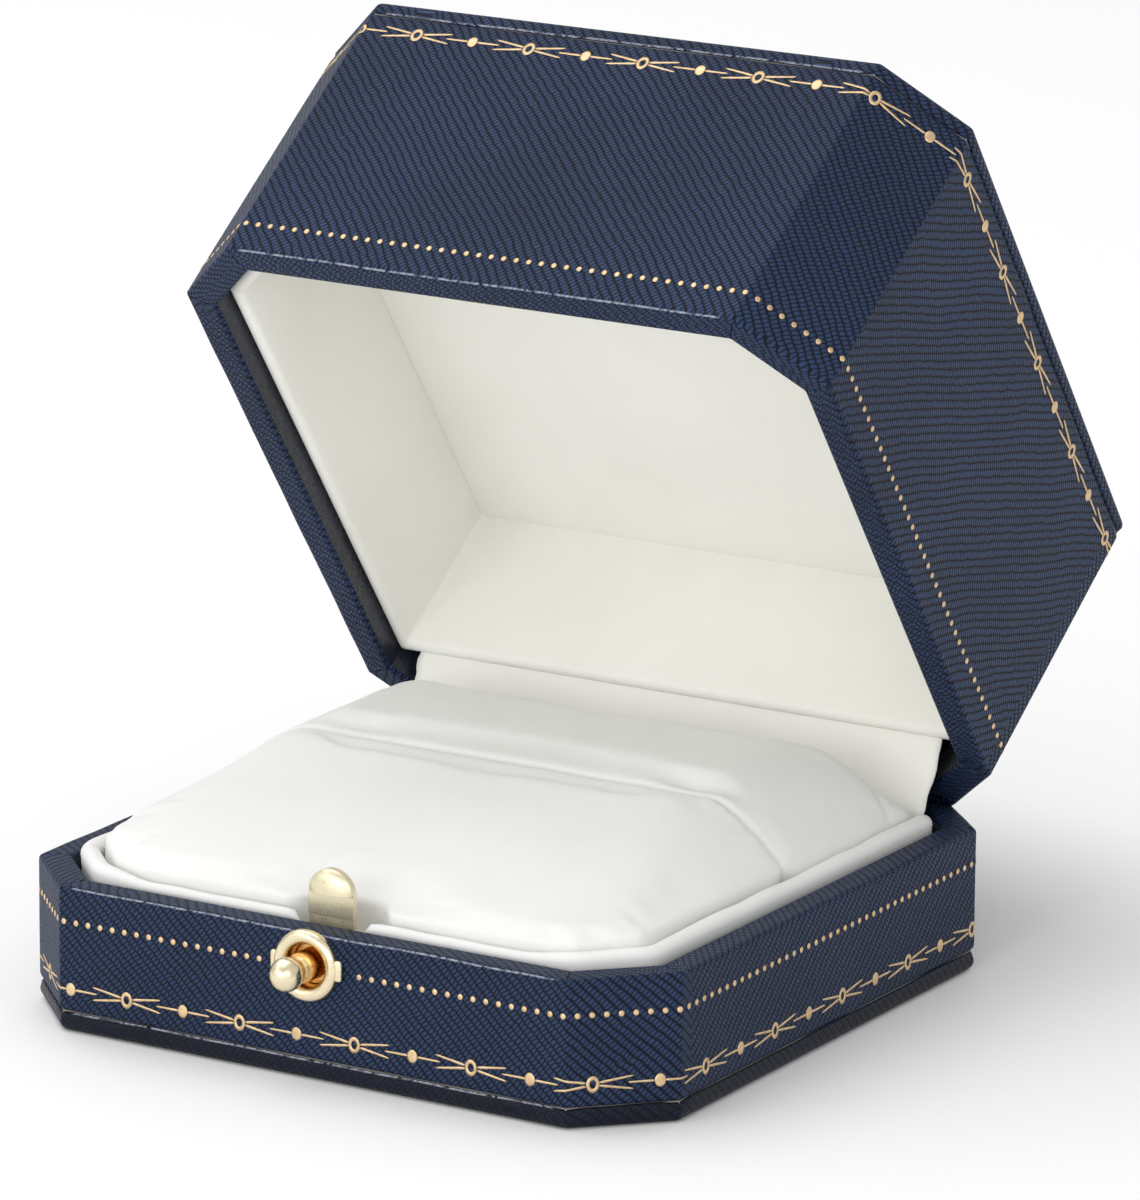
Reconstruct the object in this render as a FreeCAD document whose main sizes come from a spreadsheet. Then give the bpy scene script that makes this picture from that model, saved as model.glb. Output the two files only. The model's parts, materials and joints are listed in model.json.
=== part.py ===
"""Ring box: an eight-sided base and lid of board covered in leatherette, a sprung hinge, a push-button
latch and a two-pad cushion that holds a ring in the slot between the pads.

Millimetres, +Z up, +Y to the rear. The origin is the middle of the underside of the base. The lid is
drawn closed and then turned open about the hinge pin, which is how the box is stored.
"""
import FreeCAD
import Part
import math
import os
import Sketcher

SIZES = (
    # plan and shell
    ("width", 70.0), ("chamfer_leg", 7.6), ("board", 2.0), ("base_wall", 12.1), ("parting", 0.4),
    ("lid_wall", 31.4), ("top_board", 1.8), ("leather", 0.4), ("core", 2.2), ("turn_in", 7.0),
    ("edge_leather", 0.3), ("edge_bevel", 0.8),
    # hinge
    ("hinge_inset", 2.6), ("open_angle", 54.2), ("bevel_spare", 0.4), ("hinge_length", 40.0),
    ("knuckle_radius", 0.9), ("knuckle_bore", 0.5), ("base_knuckle", 6.0), ("lid_knuckle", 5.4),
    ("knuckle_gap", 0.3), ("hinge_pin_radius", 0.45), ("pin_spare", 0.5), ("pin_head_radius", 0.7),
    ("pin_head", 0.4), ("leaf", 0.5), ("leaf_near", 1.1), ("leaf_far", 7.8), ("leaf_slip", 0.1),
    ("leaf_overlap", 0.2), ("seat_spare", 1.0), ("leaf_rivet_drop", 4.8), ("leaf_rivet_pitch", 15.0),
    ("rivet_shank", 0.6), ("rivet_head", 1.1), ("rivet_head_height", 0.3), ("rivet_spare", 0.02),
    ("spring_radius", 0.72), ("spring_wire", 0.18), ("spring_pitch", 0.5), ("spring_turns", 7.0),
    ("spring_offset", 11.5), ("spring_leg", 4.0),
    # inside of the base
    ("floor_card", 1.2), ("cushion_board", 1.2), ("collar_inset", 3.5), ("collar_thickness", 1.8),
    ("collar_height", 1.3), ("collar_rear", 26.3), ("collar_rear_thickness", 1.0),
    ("pad_inset", 5.6), ("pad_rear", 25.0), ("crown", 8.0), ("slot_place", 1.0), ("slot_gap", 1.0),
    ("front_knee", 15.0), ("front_knee_drop", 3.2), ("front_edge_drop", 6.6), ("rear_knee", 21.0),
    ("rear_edge_drop", 6.3), ("side_knee", 21.0), ("side_edge_drop", 6.1),
    ("notch_half", 3.6), ("notch_depth", 7.7),
    # inside of the lid
    ("lining_recess", 2.3), ("lining", 1.5), ("rear_panel", 26.1), ("ceiling_depth", 19.5),
    ("ceiling_pad", 3.0), ("ceiling_board", 1.5), ("spacer_width", 6.0), ("slip", 0.05),
    # button and its escutcheon
    ("button_drop", 3.1), ("flange_radius", 3.4), ("flange", 0.9), ("flange_round", 0.4),
    ("ear_half", 3.85), ("ear_height", 2.1), ("ear", 0.6), ("barrel_radius", 2.5), ("barrel_bore", 2.0),
    ("ball_radius", 1.6), ("ball_reach", 3.6), ("neck_radius", 1.05), ("stem_radius", 1.45),
    ("stem_reach", 1.4), ("guide_radius", 1.95), ("guide_depth", 0.8), ("end_disc", 0.15),
    ("clip", 0.25), ("clip_radius", 2.4), ("groove_radius", 1.5), ("nub_radius", 0.6), ("nub_gap", 0.1),
    # tongue, its bracket and its spring
    ("tongue_width", 4.9), ("tongue", 0.5), ("tongue_setback", 0.9), ("tongue_rise", 5.0),
    ("nose_radius", 1.05), ("nose_setback", 0.15), ("band_proud", 0.1), ("band_low", 0.5),
    ("band_high", 2.45), ("foot_height", 1.4), ("foot_radius", 0.85), ("foot_pin_radius", 0.35),
    ("foot_bore", 0.41), ("foot_split", 0.3), ("spring_room", 1.1), ("latch_spring_radius", 0.6),
    ("latch_spring_wire", 0.15), ("latch_spring_pitch", 0.42), ("latch_spring_turns", 3.25),
    ("latch_spring_short_leg", 0.9), ("latch_spring_long_leg", 3.0), ("bracket", 0.5),
    ("bracket_half", 3.4), ("bracket_length", 3.7), ("bracket_gap", 0.1), ("bracket_rivet_edge", 0.6),
    ("ear_setback", 0.2), ("ear_rise", 1.0), ("pin_end", 0.1), ("ear_inner", 2.6),
    ("bracket_rivet_half", 2.0), ("small_shank", 0.5), ("small_head", 0.9),
    # strike plate in the lid
    ("strike", 0.5), ("strike_half", 4.0), ("strike_low", 0.6), ("strike_high", 7.5),
    ("window_half", 2.9), ("window_low", 2.25), ("window_high", 5.1), ("strike_rivet_half", 2.6),
    ("strike_rivet_rise", 6.4), ("strike_room", 0.4),
    # strips across the joint
    ("gusset_half", 29.3), ("gusset", 0.25), ("gusset_foot", 27.0), ("gusset_knee", 0.4),
    ("spine_half", 27.0), ("spine", 0.3), ("spine_gap", 0.08), ("spine_free", 2.2),
    ("spine_bulge", 1.6), ("spine_crease", 1.1), ("spine_crease_drop", 2.6), ("spine_turn_drop", 2.4),
    ("strip_gap", 0.1), ("strip_tail", 6.0),
)

doc = FreeCAD.newDocument("RingBox")
sheet = doc.addObject("Spreadsheet::Sheet", "Sizes")
for row, (alias, number) in enumerate(SIZES, start=1):
    sheet.set(f"A{row}", alias)
    sheet.set(f"B{row}", str(number))
    sheet.setAlias(f"B{row}", alias)
doc.recompute()

nodes = []

# Places worked out from the sizes, as expressions
HALF = "(Sizes.width / 2)"
WALL = "(2 * Sizes.leather + Sizes.core)"
CORE_IN = "(Sizes.leather + Sizes.core)"
INNER = f"({HALF} - {WALL})"
RIM = "(Sizes.board + Sizes.base_wall)"
AXIS_Y = f"({HALF} - Sizes.hinge_inset)"
AXIS_Z = f"({RIM} + Sizes.parting / 2)"
LID_RIM = f"({RIM} + Sizes.parting)"
LID_TOP = f"({LID_RIM} + Sizes.lid_wall)"
FLOOR = "(Sizes.board + Sizes.floor_card)"
PAD_FOOT = f"({FLOOR} + Sizes.cushion_board)"
CROWN = f"({RIM} + Sizes.crown)"
CEILING = f"({LID_RIM} + Sizes.ceiling_depth)"
BUTTON_Z = f"({RIM} - Sizes.button_drop)"
TONGUE_FRONT = f"({INNER} - Sizes.tongue_setback)"
FOOT_Y = f"({TONGUE_FRONT} - Sizes.tongue / 2)"
FOOT_Z = f"({FLOOR} + Sizes.foot_height)"


def value(expression):
    """The number that an expression over the sheet gives."""
    return float(sheet.evalExpression(expression))


def octagon(inset):
    """Corners of the plan outline, moved in by inset, with every wall kept the same thickness."""
    half = f"({HALF} - {inset})"
    flat = f"({half} - Sizes.chamfer_leg + {inset} * (2 - sqrt(2)))"
    quarter = ((flat, half), (half, flat))
    signs = (("", ""), ("", "-"), ("-", "-"), ("-", ""))
    corners = []
    for turn, (left, right) in enumerate(signs):
        pair = quarter if turn % 2 == 0 else quarter[::-1]
        corners += [(left + x, right + y) for x, y in pair]
    return corners


def cup_outline(inset, rear):
    """The plan outline with chamfered front corners only, ended square at rear."""
    half = f"({HALF} - {inset})"
    flat = f"({half} - Sizes.chamfer_leg + {inset} * (2 - sqrt(2)))"
    return [(half, rear), (half, f"-{flat}"), (flat, f"-{half}"), (f"-{flat}", f"-{half}"),
            (f"-{half}", f"-{flat}"), (f"-{half}", rear)]


def rectangle(x_low, x_high, y_low, y_high):
    return [(x_low, y_low), (x_high, y_low), (x_high, y_high), (x_low, y_high)]


# Sketches and features of a body

def new_body(label):
    body = doc.addObject("PartDesign::Body", label)
    body.Label = label
    return body


def new_sketch(body, role, offset="0"):
    """A sketch on one of the body's own planes, moved along the plane's normal by offset."""
    sketch = body.newObject("Sketcher::SketchObject", f"{body.Name}_sketch")
    plane = next(item for item in body.Origin.OriginFeatures if item.Role == role)
    sketch.AttachmentSupport = [(plane, "")]
    sketch.MapMode = "FlatFace"
    sketch.setExpression("AttachmentOffset.Base.z", offset)
    return sketch


def tie_point(sketch, geometry, position, place):
    """Ties one point of the sketch to a pair of expressions, measured from the sketch's origin."""
    for kind, expression, axis in (("DistanceX", place[0], -2), ("DistanceY", place[1], -1)):
        distance = value(expression)
        if abs(distance) < 1e-9:
            sketch.addConstraint(Sketcher.Constraint("PointOnObject", geometry, position, axis))
            continue
        ends = (-1, 1, geometry, position) if distance > 0 else (geometry, position, -1, 1)
        index = sketch.addConstraint(Sketcher.Constraint(kind, *ends, abs(distance)))
        sign = "" if distance > 0 else "-"
        sketch.setExpression(f"Constraints[{index}]", f"{sign}({expression})")


def draw_outline(sketch, places):
    """A closed outline of straight lines through the places."""
    points = [FreeCAD.Vector(value(x), value(y), 0) for x, y in places]
    first = sketch.GeometryCount
    last = first + len(points) - 1
    for start, end in zip(points, points[1:] + points[:1]):
        sketch.addGeometry(Part.LineSegment(start, end), False)
    for index in range(first, last + 1):
        following = first if index == last else index + 1
        sketch.addConstraint(Sketcher.Constraint("Coincident", index, 2, following, 1))
        tie_point(sketch, index, 1, places[index - first])


def draw_circle(sketch, place, radius):
    centre = FreeCAD.Vector(value(place[0]), value(place[1]), 0)
    index = sketch.addGeometry(Part.Circle(centre, FreeCAD.Vector(0, 0, 1), value(radius)), False)
    tie_point(sketch, index, 3, place)
    constraint = sketch.addConstraint(Sketcher.Constraint("Radius", index, value(radius)))
    sketch.setExpression(f"Constraints[{constraint}]", radius)


def extrude(body, sketch, length, toward=1, cut=False):
    """Pad or pocket. toward is 1 along the sketch's normal, -1 against it and 0 for half each way."""
    feature = body.newObject("PartDesign::Pocket" if cut else "PartDesign::Pad", f"{body.Name}_step")
    feature.Profile = sketch
    feature.setExpression("Length", length)
    if toward == 0:
        feature.SideType = "Symmetric"
    else:
        feature.Reversed = (toward > 0) == cut
    return feature


def plate(body, places, low, high, holes=()):
    """Pads a plan outline, with any inner outlines left open, from one height to another."""
    sketch = new_sketch(body, "XY_Plane", low)
    draw_outline(sketch, places)
    for hole in holes:
        draw_outline(sketch, hole)
    return extrude(body, sketch, f"{high} - {low}")


def cut_plan(body, outlines, low, high):
    """Pockets plan outlines between two heights."""
    sketch = new_sketch(body, "XY_Plane", low)
    for outline in outlines:
        draw_outline(sketch, outline)
    extrude(body, sketch, f"{high} - {low}", toward=1, cut=True)


def cut_side(body, outlines, length="2 * Sizes.width"):
    """Pockets outlines drawn in the YZ plane, half of the length to each side of the middle."""
    sketch = new_sketch(body, "YZ_Plane")
    for outline in outlines:
        draw_outline(sketch, outline)
    extrude(body, sketch, length, toward=0, cut=True)


def cut_holes(body, places, radius, near, far):
    """Round holes along Y, at places given as (x, z), from near to far."""
    sketch = new_sketch(body, "XZ_Plane", f"-{near}")
    for place in places:
        draw_circle(sketch, place, radius)
    extrude(body, sketch, f"{far} - {near}", toward=-1, cut=True)


def bevel_edges(body, size, at_height):
    """Chamfers every edge that lies flat at one height."""
    doc.recompute()
    tip = body.Tip
    level = value(at_height)
    names = [
        f"Edge{index}"
        for index, edge in enumerate(tip.Shape.Edges, start=1)
        if abs(edge.BoundBox.ZMin - level) < 1e-6 and abs(edge.BoundBox.ZMax - level) < 1e-6
    ]
    feature = body.newObject("PartDesign::Chamfer", f"{body.Name}_bevel")
    feature.Base = (tip, names)
    feature.setExpression("Size", size)


# Part primitives bound to the sheet

def bind_base(item, x, y, z):
    for axis, expression in zip("xyz", (x, y, z)):
        item.setExpression(f"Placement.Base.{axis}", expression)


def box(label, x_low, x_high, y_low, y_high, z_low, z_high):
    item = doc.addObject("Part::Box", label)
    item.setExpression("Length", f"{x_high} - ({x_low})")
    item.setExpression("Width", f"{y_high} - ({y_low})")
    item.setExpression("Height", f"{z_high} - ({z_low})")
    bind_base(item, x_low, y_low, z_low)
    return item


def rod(label, axis, radius, length, x, y, z):
    """A cylinder that starts at x, y, z and runs along +X, +Y or +Z."""
    item = doc.addObject("Part::Cylinder", label)
    turns = {
        "X": FreeCAD.Rotation(FreeCAD.Vector(0, 1, 0), 90),
        "Y": FreeCAD.Rotation(FreeCAD.Vector(1, 0, 0), -90),
        "Z": FreeCAD.Rotation(),
    }
    item.Placement = FreeCAD.Placement(FreeCAD.Vector(), turns[axis])
    item.setExpression("Radius", radius)
    item.setExpression("Height", length)
    bind_base(item, x, y, z)
    return item


def fuse(label, items):
    item = doc.addObject("Part::MultiFuse", label)
    item.Shapes = items
    return item


def cut(label, base, tool):
    item = doc.addObject("Part::Cut", label)
    item.Base = base
    item.Tool = tool
    return item


def group(label, items):
    item = doc.addObject("Part::Compound", label)
    item.Links = items
    return item


# What a lid piece shares with a base piece. side is -1 for the base and 1 for the lid.

def from_axis(side, distance):
    """Height of a place that is distance away from the hinge axis, into the base or into the lid."""
    return f"({AXIS_Z} + {side} * ({distance}))"


def cut_rear_bevel(body, side):
    """Takes the rear edge back on a slope, so that the two slopes meet where the lid stops."""
    slope = "tan(Sizes.open_angle / 2 + Sizes.bevel_spare)"
    reach = "(Sizes.hinge_inset + 1)"
    outline = [
        (AXIS_Y, AXIS_Z),
        (f"{AXIS_Y} + {reach}", AXIS_Z),
        (f"{AXIS_Y} + {reach}", from_axis(side, f"{reach} * {slope}")),
    ]
    cut_side(body, [outline])


def cut_hinge_seat(body, side):
    """Room in the rear wall for the knuckles."""
    rear = f"{AXIS_Y} + Sizes.leaf_near"
    seat = rectangle(f"{INNER} - Sizes.leaf_slip", rear, AXIS_Z, from_axis(side, "Sizes.leaf_near"))
    cut_side(body, [seat], "Sizes.hinge_length + 2 * Sizes.seat_spare")


def cut_leaf_recess(body, side):
    """Room in the board for the leaf, and the holes for its rivets."""
    rear = f"({AXIS_Y} + Sizes.knuckle_radius)"
    recess = rectangle(
        f"{HALF} - {CORE_IN} - Sizes.leaf_slip", rear,
        from_axis(side, "Sizes.leaf_near - Sizes.leaf_slip"), from_axis(side, "Sizes.leaf_far + Sizes.slip"),
    )
    cut_side(body, [recess], "Sizes.hinge_length + 2 * Sizes.leaf_slip")
    far = f"({HALF} - Sizes.leather)"
    cut_holes(body, leaf_rivet_places(side), "Sizes.rivet_shank + Sizes.rivet_spare", rear, far)


def leaf_rivet_places(side):
    height = from_axis(side, "Sizes.leaf_rivet_drop")
    return [(f"{step} * Sizes.leaf_rivet_pitch", height) for step in (-1, 0, 1)]


def strike_rivet_places():
    height = f"({LID_RIM} + Sizes.strike_rivet_rise)"
    return [(f"{step} * Sizes.strike_rivet_half", height) for step in (-1, 1)]


def hinge_leaf(label, side, knuckles):
    """A flat leaf with its knuckles. knuckles holds (start, length) pairs along X."""
    body = new_body(label)
    rear = f"({AXIS_Y} + Sizes.knuckle_radius)"
    front = f"({rear} - Sizes.leaf)"
    flat = new_sketch(body, "YZ_Plane")
    near = from_axis(side, "Sizes.leaf_near")
    draw_outline(flat, rectangle(front, rear, near, from_axis(side, "Sizes.leaf_far")))
    extrude(body, flat, "Sizes.hinge_length", toward=0)
    for start, length in knuckles:
        tab = new_sketch(body, "YZ_Plane", start)
        draw_outline(tab, rectangle(
            front, rear, AXIS_Z, from_axis(side, "Sizes.leaf_near + Sizes.leaf_overlap")
        ))
        extrude(body, tab, length)
        barrel = new_sketch(body, "YZ_Plane", start)
        draw_circle(barrel, (AXIS_Y, AXIS_Z), "Sizes.knuckle_radius")
        extrude(body, barrel, length)
    bore = new_sketch(body, "YZ_Plane")
    draw_circle(bore, (AXIS_Y, AXIS_Z), "Sizes.knuckle_bore")
    extrude(body, bore, "2 * Sizes.width", toward=0, cut=True)
    radius = "Sizes.rivet_shank + Sizes.rivet_spare"
    cut_holes(body, leaf_rivet_places(side), radius, f"({front} - 0.5)", f"({rear} + 0.5)")
    return body


def rivet_row(label, places, shank, head, head_height, inner, outer):
    """Rivets along Y at (x, z) places, with the head on the inner side. They stay separate solids."""
    rivets = []
    toward = 1 if value(outer) > value(inner) else -1
    for index, (x, z) in enumerate(places):
        name = f"{label}_{index}"
        low, high = (inner, outer) if toward > 0 else (outer, inner)
        shank_rod = rod(f"{name}_shank", "Y", shank, f"{high} - ({low})", x, low, z)
        head_low = f"{inner} - {head_height}" if toward > 0 else inner
        head_rod = rod(f"{name}_head", "Y", head, head_height, x, head_low, z)
        rivets.append(fuse(name, [shank_rod, head_rod]))
    return group(label, rivets)


def torsion_spring(label, centre, first, second, turns, radius, wire, pitch, legs):
    """A coil whose wire starts at centre + first * radius, running along second, with straight legs."""
    height = pitch * turns
    helix = Part.Wire(Part.makeHelix(pitch, height, radius).Edges)
    rise = pitch / (2 * math.pi)
    length = math.hypot(radius, rise)
    end_angle = 2 * math.pi * turns
    start = FreeCAD.Vector(radius, 0, 0)
    start_way = FreeCAD.Vector(0, radius / length, rise / length)
    end = FreeCAD.Vector(radius * math.cos(end_angle), radius * math.sin(end_angle), height)
    end_way = FreeCAD.Vector(-math.sin(end_angle) * radius, math.cos(end_angle) * radius, rise) / length
    profile = Part.Wire(Part.makeCircle(wire, start, start_way))
    coil = helix.makePipeShell([profile], True, True)
    leg_in = Part.makeCylinder(wire, legs[0], start, start_way * -1)
    leg_out = Part.makeCylinder(wire, legs[1], end, end_way)
    spring = doc.addObject("Part::Feature", label)
    spring.Shape = coil.fuse([leg_in, leg_out]).removeSplitter()
    third = first.cross(second)
    frame = FreeCAD.Matrix(
        first.x, second.x, third.x, 0, first.y, second.y, third.y, 0,
        first.z, second.z, third.z, 0, 0, 0, 0, 1,
    )
    spring.Placement = FreeCAD.Placement(centre - third * (height / 2), FreeCAD.Placement(frame).Rotation)
    return spring


def bent_strip(label, places, thickness, half_width):
    """A thin strip that follows places in the YZ plane, with its thickness to the left of its way."""
    points = [FreeCAD.Vector(0, y, z) for y, z in places]
    ways = [(end - start).normalize() for start, end in zip(points, points[1:])]
    lefts = [FreeCAD.Vector(0, -way.z, way.y) for way in ways]
    edge = [points[0] + lefts[0] * thickness]
    for point, before, after in zip(points[1:], lefts, lefts[1:]):
        middle = (before + after).normalize()
        edge.append(point + middle * (thickness / middle.dot(before)))
    edge.append(points[-1] + lefts[-1] * thickness)
    outline = points + edge[::-1]
    face = Part.Face(Part.makePolygon(outline + outline[:1]))
    strip = doc.addObject("Part::Feature", label)
    strip.Shape = face.extrude(FreeCAD.Vector(2 * half_width, 0, 0))
    strip.Placement = FreeCAD.Placement(FreeCAD.Vector(-half_width, 0, 0), FreeCAD.Rotation())
    return strip


# Base

def covered_board(board_label, cover_label, low, high, outer_level, side):
    """A bevelled board and the leatherette drawn over its outer face and its edges."""
    inset = "Sizes.edge_leather"
    board = new_body(board_label)
    inner_level = f"({outer_level} - {side} * {inset})"
    levels = (low, inner_level) if side > 0 else (inner_level, high)
    plate(board, octagon(inset), *levels)
    bevel_edges(board, f"Sizes.edge_bevel - {inset} * (2 - sqrt(2))", inner_level)
    envelope = new_body(f"{cover_label}_envelope")
    plate(envelope, octagon("0"), low, high)
    bevel_edges(envelope, "Sizes.edge_bevel", outer_level)
    cover = cut(cover_label, envelope, board)
    nodes.extend([board, cover])
    return [board, envelope]


def base_wall():
    core = new_body("base_wall_core")
    plate(core, octagon("Sizes.leather"), "Sizes.board", f"({RIM} - Sizes.leather)", [octagon(CORE_IN)])
    cut_leaf_recess(core, -1)
    cover = new_body("base_wall_cover")
    plate(cover, octagon("0"), "Sizes.board", RIM, [octagon(WALL)])
    cut_plan(
        cover, [octagon("Sizes.leather"), octagon(CORE_IN)], "Sizes.board", f"({RIM} - Sizes.leather)"
    )
    cut_plan(cover, [octagon(CORE_IN), octagon(WALL)], "Sizes.board", f"({RIM} - Sizes.turn_in)")
    for body in (core, cover):
        cut_rear_bevel(body, -1)
        cut_hinge_seat(body, -1)
        cut_holes(
            body, [("0", BUTTON_Z)], "Sizes.barrel_radius + Sizes.rivet_spare",
            f"(-{HALF} - 1)", f"(-{INNER} + 1)",
        )
    nodes.extend([core, cover])


def latch_notch(body, low, high):
    """Clears the middle of the front for the latch."""
    front = f"-{HALF}"
    notch = rectangle("-Sizes.notch_half", "Sizes.notch_half", front, f"{front} + Sizes.notch_depth")
    cut_plan(body, [notch], low, high)


def base_inside():
    card = new_body("base_floor_card")
    plate(card, octagon(f"({WALL} + Sizes.slip)"), "Sizes.board", FLOOR)
    holes = new_sketch(card, "XY_Plane", "Sizes.board")
    for x, y in bracket_rivet_places():
        draw_circle(holes, (x, y), "Sizes.small_shank + Sizes.rivet_spare")
    extrude(card, holes, "Sizes.floor_card", toward=1, cut=True)

    board = new_body("cushion_board")
    plate(board, cup_outline("Sizes.pad_inset", "Sizes.pad_rear"), FLOOR, PAD_FOOT)
    latch_notch(board, FLOOR, PAD_FOOT)

    collar = new_body("collar_liner")
    top = f"({RIM} + Sizes.collar_height)"
    inner = "(Sizes.collar_inset + Sizes.collar_thickness)"
    outer_outline = cup_outline("Sizes.collar_inset", "Sizes.collar_rear")
    inner_outline = cup_outline(inner, "(Sizes.collar_rear - Sizes.collar_rear_thickness)")
    plate(collar, outer_outline, FLOOR, top, [inner_outline])
    latch_notch(collar, FLOOR, top)
    nodes.extend([card, board, collar])


def cushion_pad(label, sign, outline, profile):
    """One foam pad: its plan, then the slope towards the wall, then the slopes towards the sides."""
    body = new_body(label)
    plate(body, outline, PAD_FOOT, CROWN)
    over = f"({CROWN} + 1)"
    last_y, last_z = profile[-1]
    beyond = f"({last_y} + {sign})"
    cut_side(body, [[*profile, (beyond, last_z), (beyond, over), (profile[0][0], over)]])
    edge = f"({HALF} - Sizes.pad_inset)"
    low = f"({CROWN} - Sizes.side_edge_drop)"
    sides = []
    for mirror in ("", "-"):
        sides.append([
            (f"{mirror}Sizes.side_knee", CROWN), (f"{mirror}{edge}", low),
            (f"{mirror}({edge} + 1)", low), (f"{mirror}({edge} + 1)", over),
            (f"{mirror}Sizes.side_knee", over),
        ])
    sketch = new_sketch(body, "XZ_Plane")
    for outline in sides:
        draw_outline(sketch, outline)
    extrude(body, sketch, "2 * Sizes.width", toward=0, cut=True)
    nodes.append(body)
    return body


def cushion():
    edge = f"({HALF} - Sizes.pad_inset)"
    front_outline = cup_outline("Sizes.pad_inset", "(Sizes.slot_place - Sizes.slot_gap / 2)")
    front = cushion_pad("cushion_front_pad", -1, front_outline, [
        ("Sizes.slot_place", CROWN),
        ("-Sizes.front_knee", f"({CROWN} - Sizes.front_knee_drop)"),
        (f"(-{edge})", f"({CROWN} - Sizes.front_edge_drop)"),
    ])
    latch_notch(front, PAD_FOOT, CROWN)
    rear_outline = rectangle(
        f"-{edge}", edge, "(Sizes.slot_place + Sizes.slot_gap / 2)", "Sizes.pad_rear"
    )
    cushion_pad("cushion_rear_pad", 1, rear_outline, [
        ("Sizes.rear_knee", CROWN),
        ("Sizes.pad_rear", f"({CROWN} - Sizes.rear_edge_drop)"),
    ])


# Latch

def escutcheon():
    body = new_body("escutcheon")
    centre = ("0", BUTTON_Z)
    flange = new_sketch(body, "XZ_Plane", HALF)
    draw_circle(flange, centre, "Sizes.flange_radius")
    extrude(body, flange, "Sizes.flange")
    doc.recompute()
    disc = body.Tip
    front = -value(f"{HALF} + Sizes.flange")
    names = [
        f"Edge{index}" for index, edge in enumerate(disc.Shape.Edges, start=1)
        if edge.isClosed() and abs(edge.CenterOfMass.y - front) < 1e-6
    ]
    rounded = body.newObject("PartDesign::Fillet", "escutcheon_round")
    rounded.Base = (disc, names)
    rounded.setExpression("Radius", "Sizes.flange_round")
    ears = new_sketch(body, "XZ_Plane", HALF)
    half_height = "Sizes.ear_height / 2"
    draw_outline(ears, rectangle(
        "-Sizes.ear_half", "Sizes.ear_half", f"{BUTTON_Z} - {half_height}", f"{BUTTON_Z} + {half_height}"
    ))
    extrude(body, ears, "Sizes.ear")
    barrel = new_sketch(body, "XZ_Plane", HALF)
    draw_circle(barrel, centre, "Sizes.barrel_radius")
    extrude(body, barrel, WALL, toward=-1)
    cut_holes(body, [centre], "Sizes.barrel_bore", f"(-{HALF} - 2)", f"(-{INNER} + 1)")
    nodes.append(body)


def push_button():
    front = f"(-{HALF})"
    inner_end = f"(-{INNER})"
    guide_front = f"({front} + Sizes.guide_depth)"
    clip_front = f"({inner_end} + Sizes.slip)"
    clip_rear = f"({clip_front} + Sizes.clip)"
    disc_rear = f"({clip_rear} + Sizes.end_disc)"
    ball = doc.addObject("Part::Sphere", "button_ball")
    ball.setExpression("Radius", "Sizes.ball_radius")
    bind_base(ball, "0", f"{front} - Sizes.ball_reach", BUTTON_Z)
    steps = (
        ("neck", "Sizes.neck_radius", f"({front} - Sizes.ball_reach)", f"({front} - Sizes.stem_reach)"),
        ("stem", "Sizes.stem_radius", f"({front} - Sizes.stem_reach)", guide_front),
        ("guide", "Sizes.guide_radius", guide_front, clip_front),
        ("groove", "Sizes.groove_radius", clip_front, clip_rear),
        ("disc", "Sizes.guide_radius", clip_rear, disc_rear),
        ("nub", "Sizes.nub_radius", disc_rear, f"(-{TONGUE_FRONT} - Sizes.nub_gap)"),
    )
    pieces = [ball]
    for name, radius, start, end in steps:
        pieces.append(rod(f"button_{name}", "Y", radius, f"{end} - {start}", "0", start, BUTTON_Z))
    nodes.append(fuse("push_button", pieces))
    outside = rod("clip_outside", "Y", "Sizes.clip_radius", "Sizes.clip", "0", clip_front, BUTTON_Z)
    inside_radius = "Sizes.groove_radius + Sizes.rivet_spare"
    inside = rod("clip_inside", "Y", inside_radius, "Sizes.clip", "0", clip_front, BUTTON_Z)
    nodes.append(cut("button_clip", outside, inside))


def latch_tongue():
    """A brass strip with a rounded nose that catches in the lid's strike plate."""
    half = "Sizes.tongue_width / 2"
    front = f"(-{TONGUE_FRONT})"
    rear = f"({front} + Sizes.tongue)"
    top = f"({RIM} + Sizes.tongue_rise)"
    nose_y = f"({rear} - Sizes.nose_setback)"
    nose_z = f"({top} - Sizes.nose_radius)"
    strip = box("tongue_strip", f"-{half}", half, front, rear, FOOT_Z, nose_z)
    band = box(
        "tongue_band", f"-{half}", half, f"{front} - Sizes.band_proud", rear,
        f"{RIM} + Sizes.band_low", f"{RIM} + Sizes.band_high",
    )
    nose = rod("tongue_nose", "X", "Sizes.nose_radius", "Sizes.tongue_width", f"-{half}", nose_y, nose_z)
    blank = fuse("tongue_blank", [strip, band, nose])
    shoulder = f"({top} - {half})"
    lower = box("tongue_lower", f"-{half}", half, f"{front} - 1", rear, FOOT_Z, shoulder)
    upper = rod("tongue_upper", "Y", half, "Sizes.tongue + 1", "0", f"{front} - 1", shoulder)
    outline = fuse("tongue_outline", [lower, upper])
    shaped = doc.addObject("Part::Common", "tongue_shaped")
    shaped.Base = blank
    shaped.Tool = outline
    spring_room = box(
        "tongue_spring_room", "Sizes.foot_split", half, f"{front} - 1", f"{rear} + 1",
        f"{FOOT_Z} - 1", f"{FOOT_Z} + Sizes.spring_room",
    )
    trimmed = cut("tongue_trimmed", shaped, spring_room)
    foot = rod(
        "tongue_foot", "X", "Sizes.foot_radius", f"Sizes.foot_split + {half}", f"-{half}",
        f"-{FOOT_Y}", FOOT_Z,
    )
    solid = fuse("tongue_solid", [trimmed, foot])
    bore = rod("tongue_bore", "X", "Sizes.foot_bore", "Sizes.tongue_width + 2", f"-{half} - 1",
               f"-{FOOT_Y}", FOOT_Z)
    nodes.append(cut("latch_tongue", solid, bore))


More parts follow.
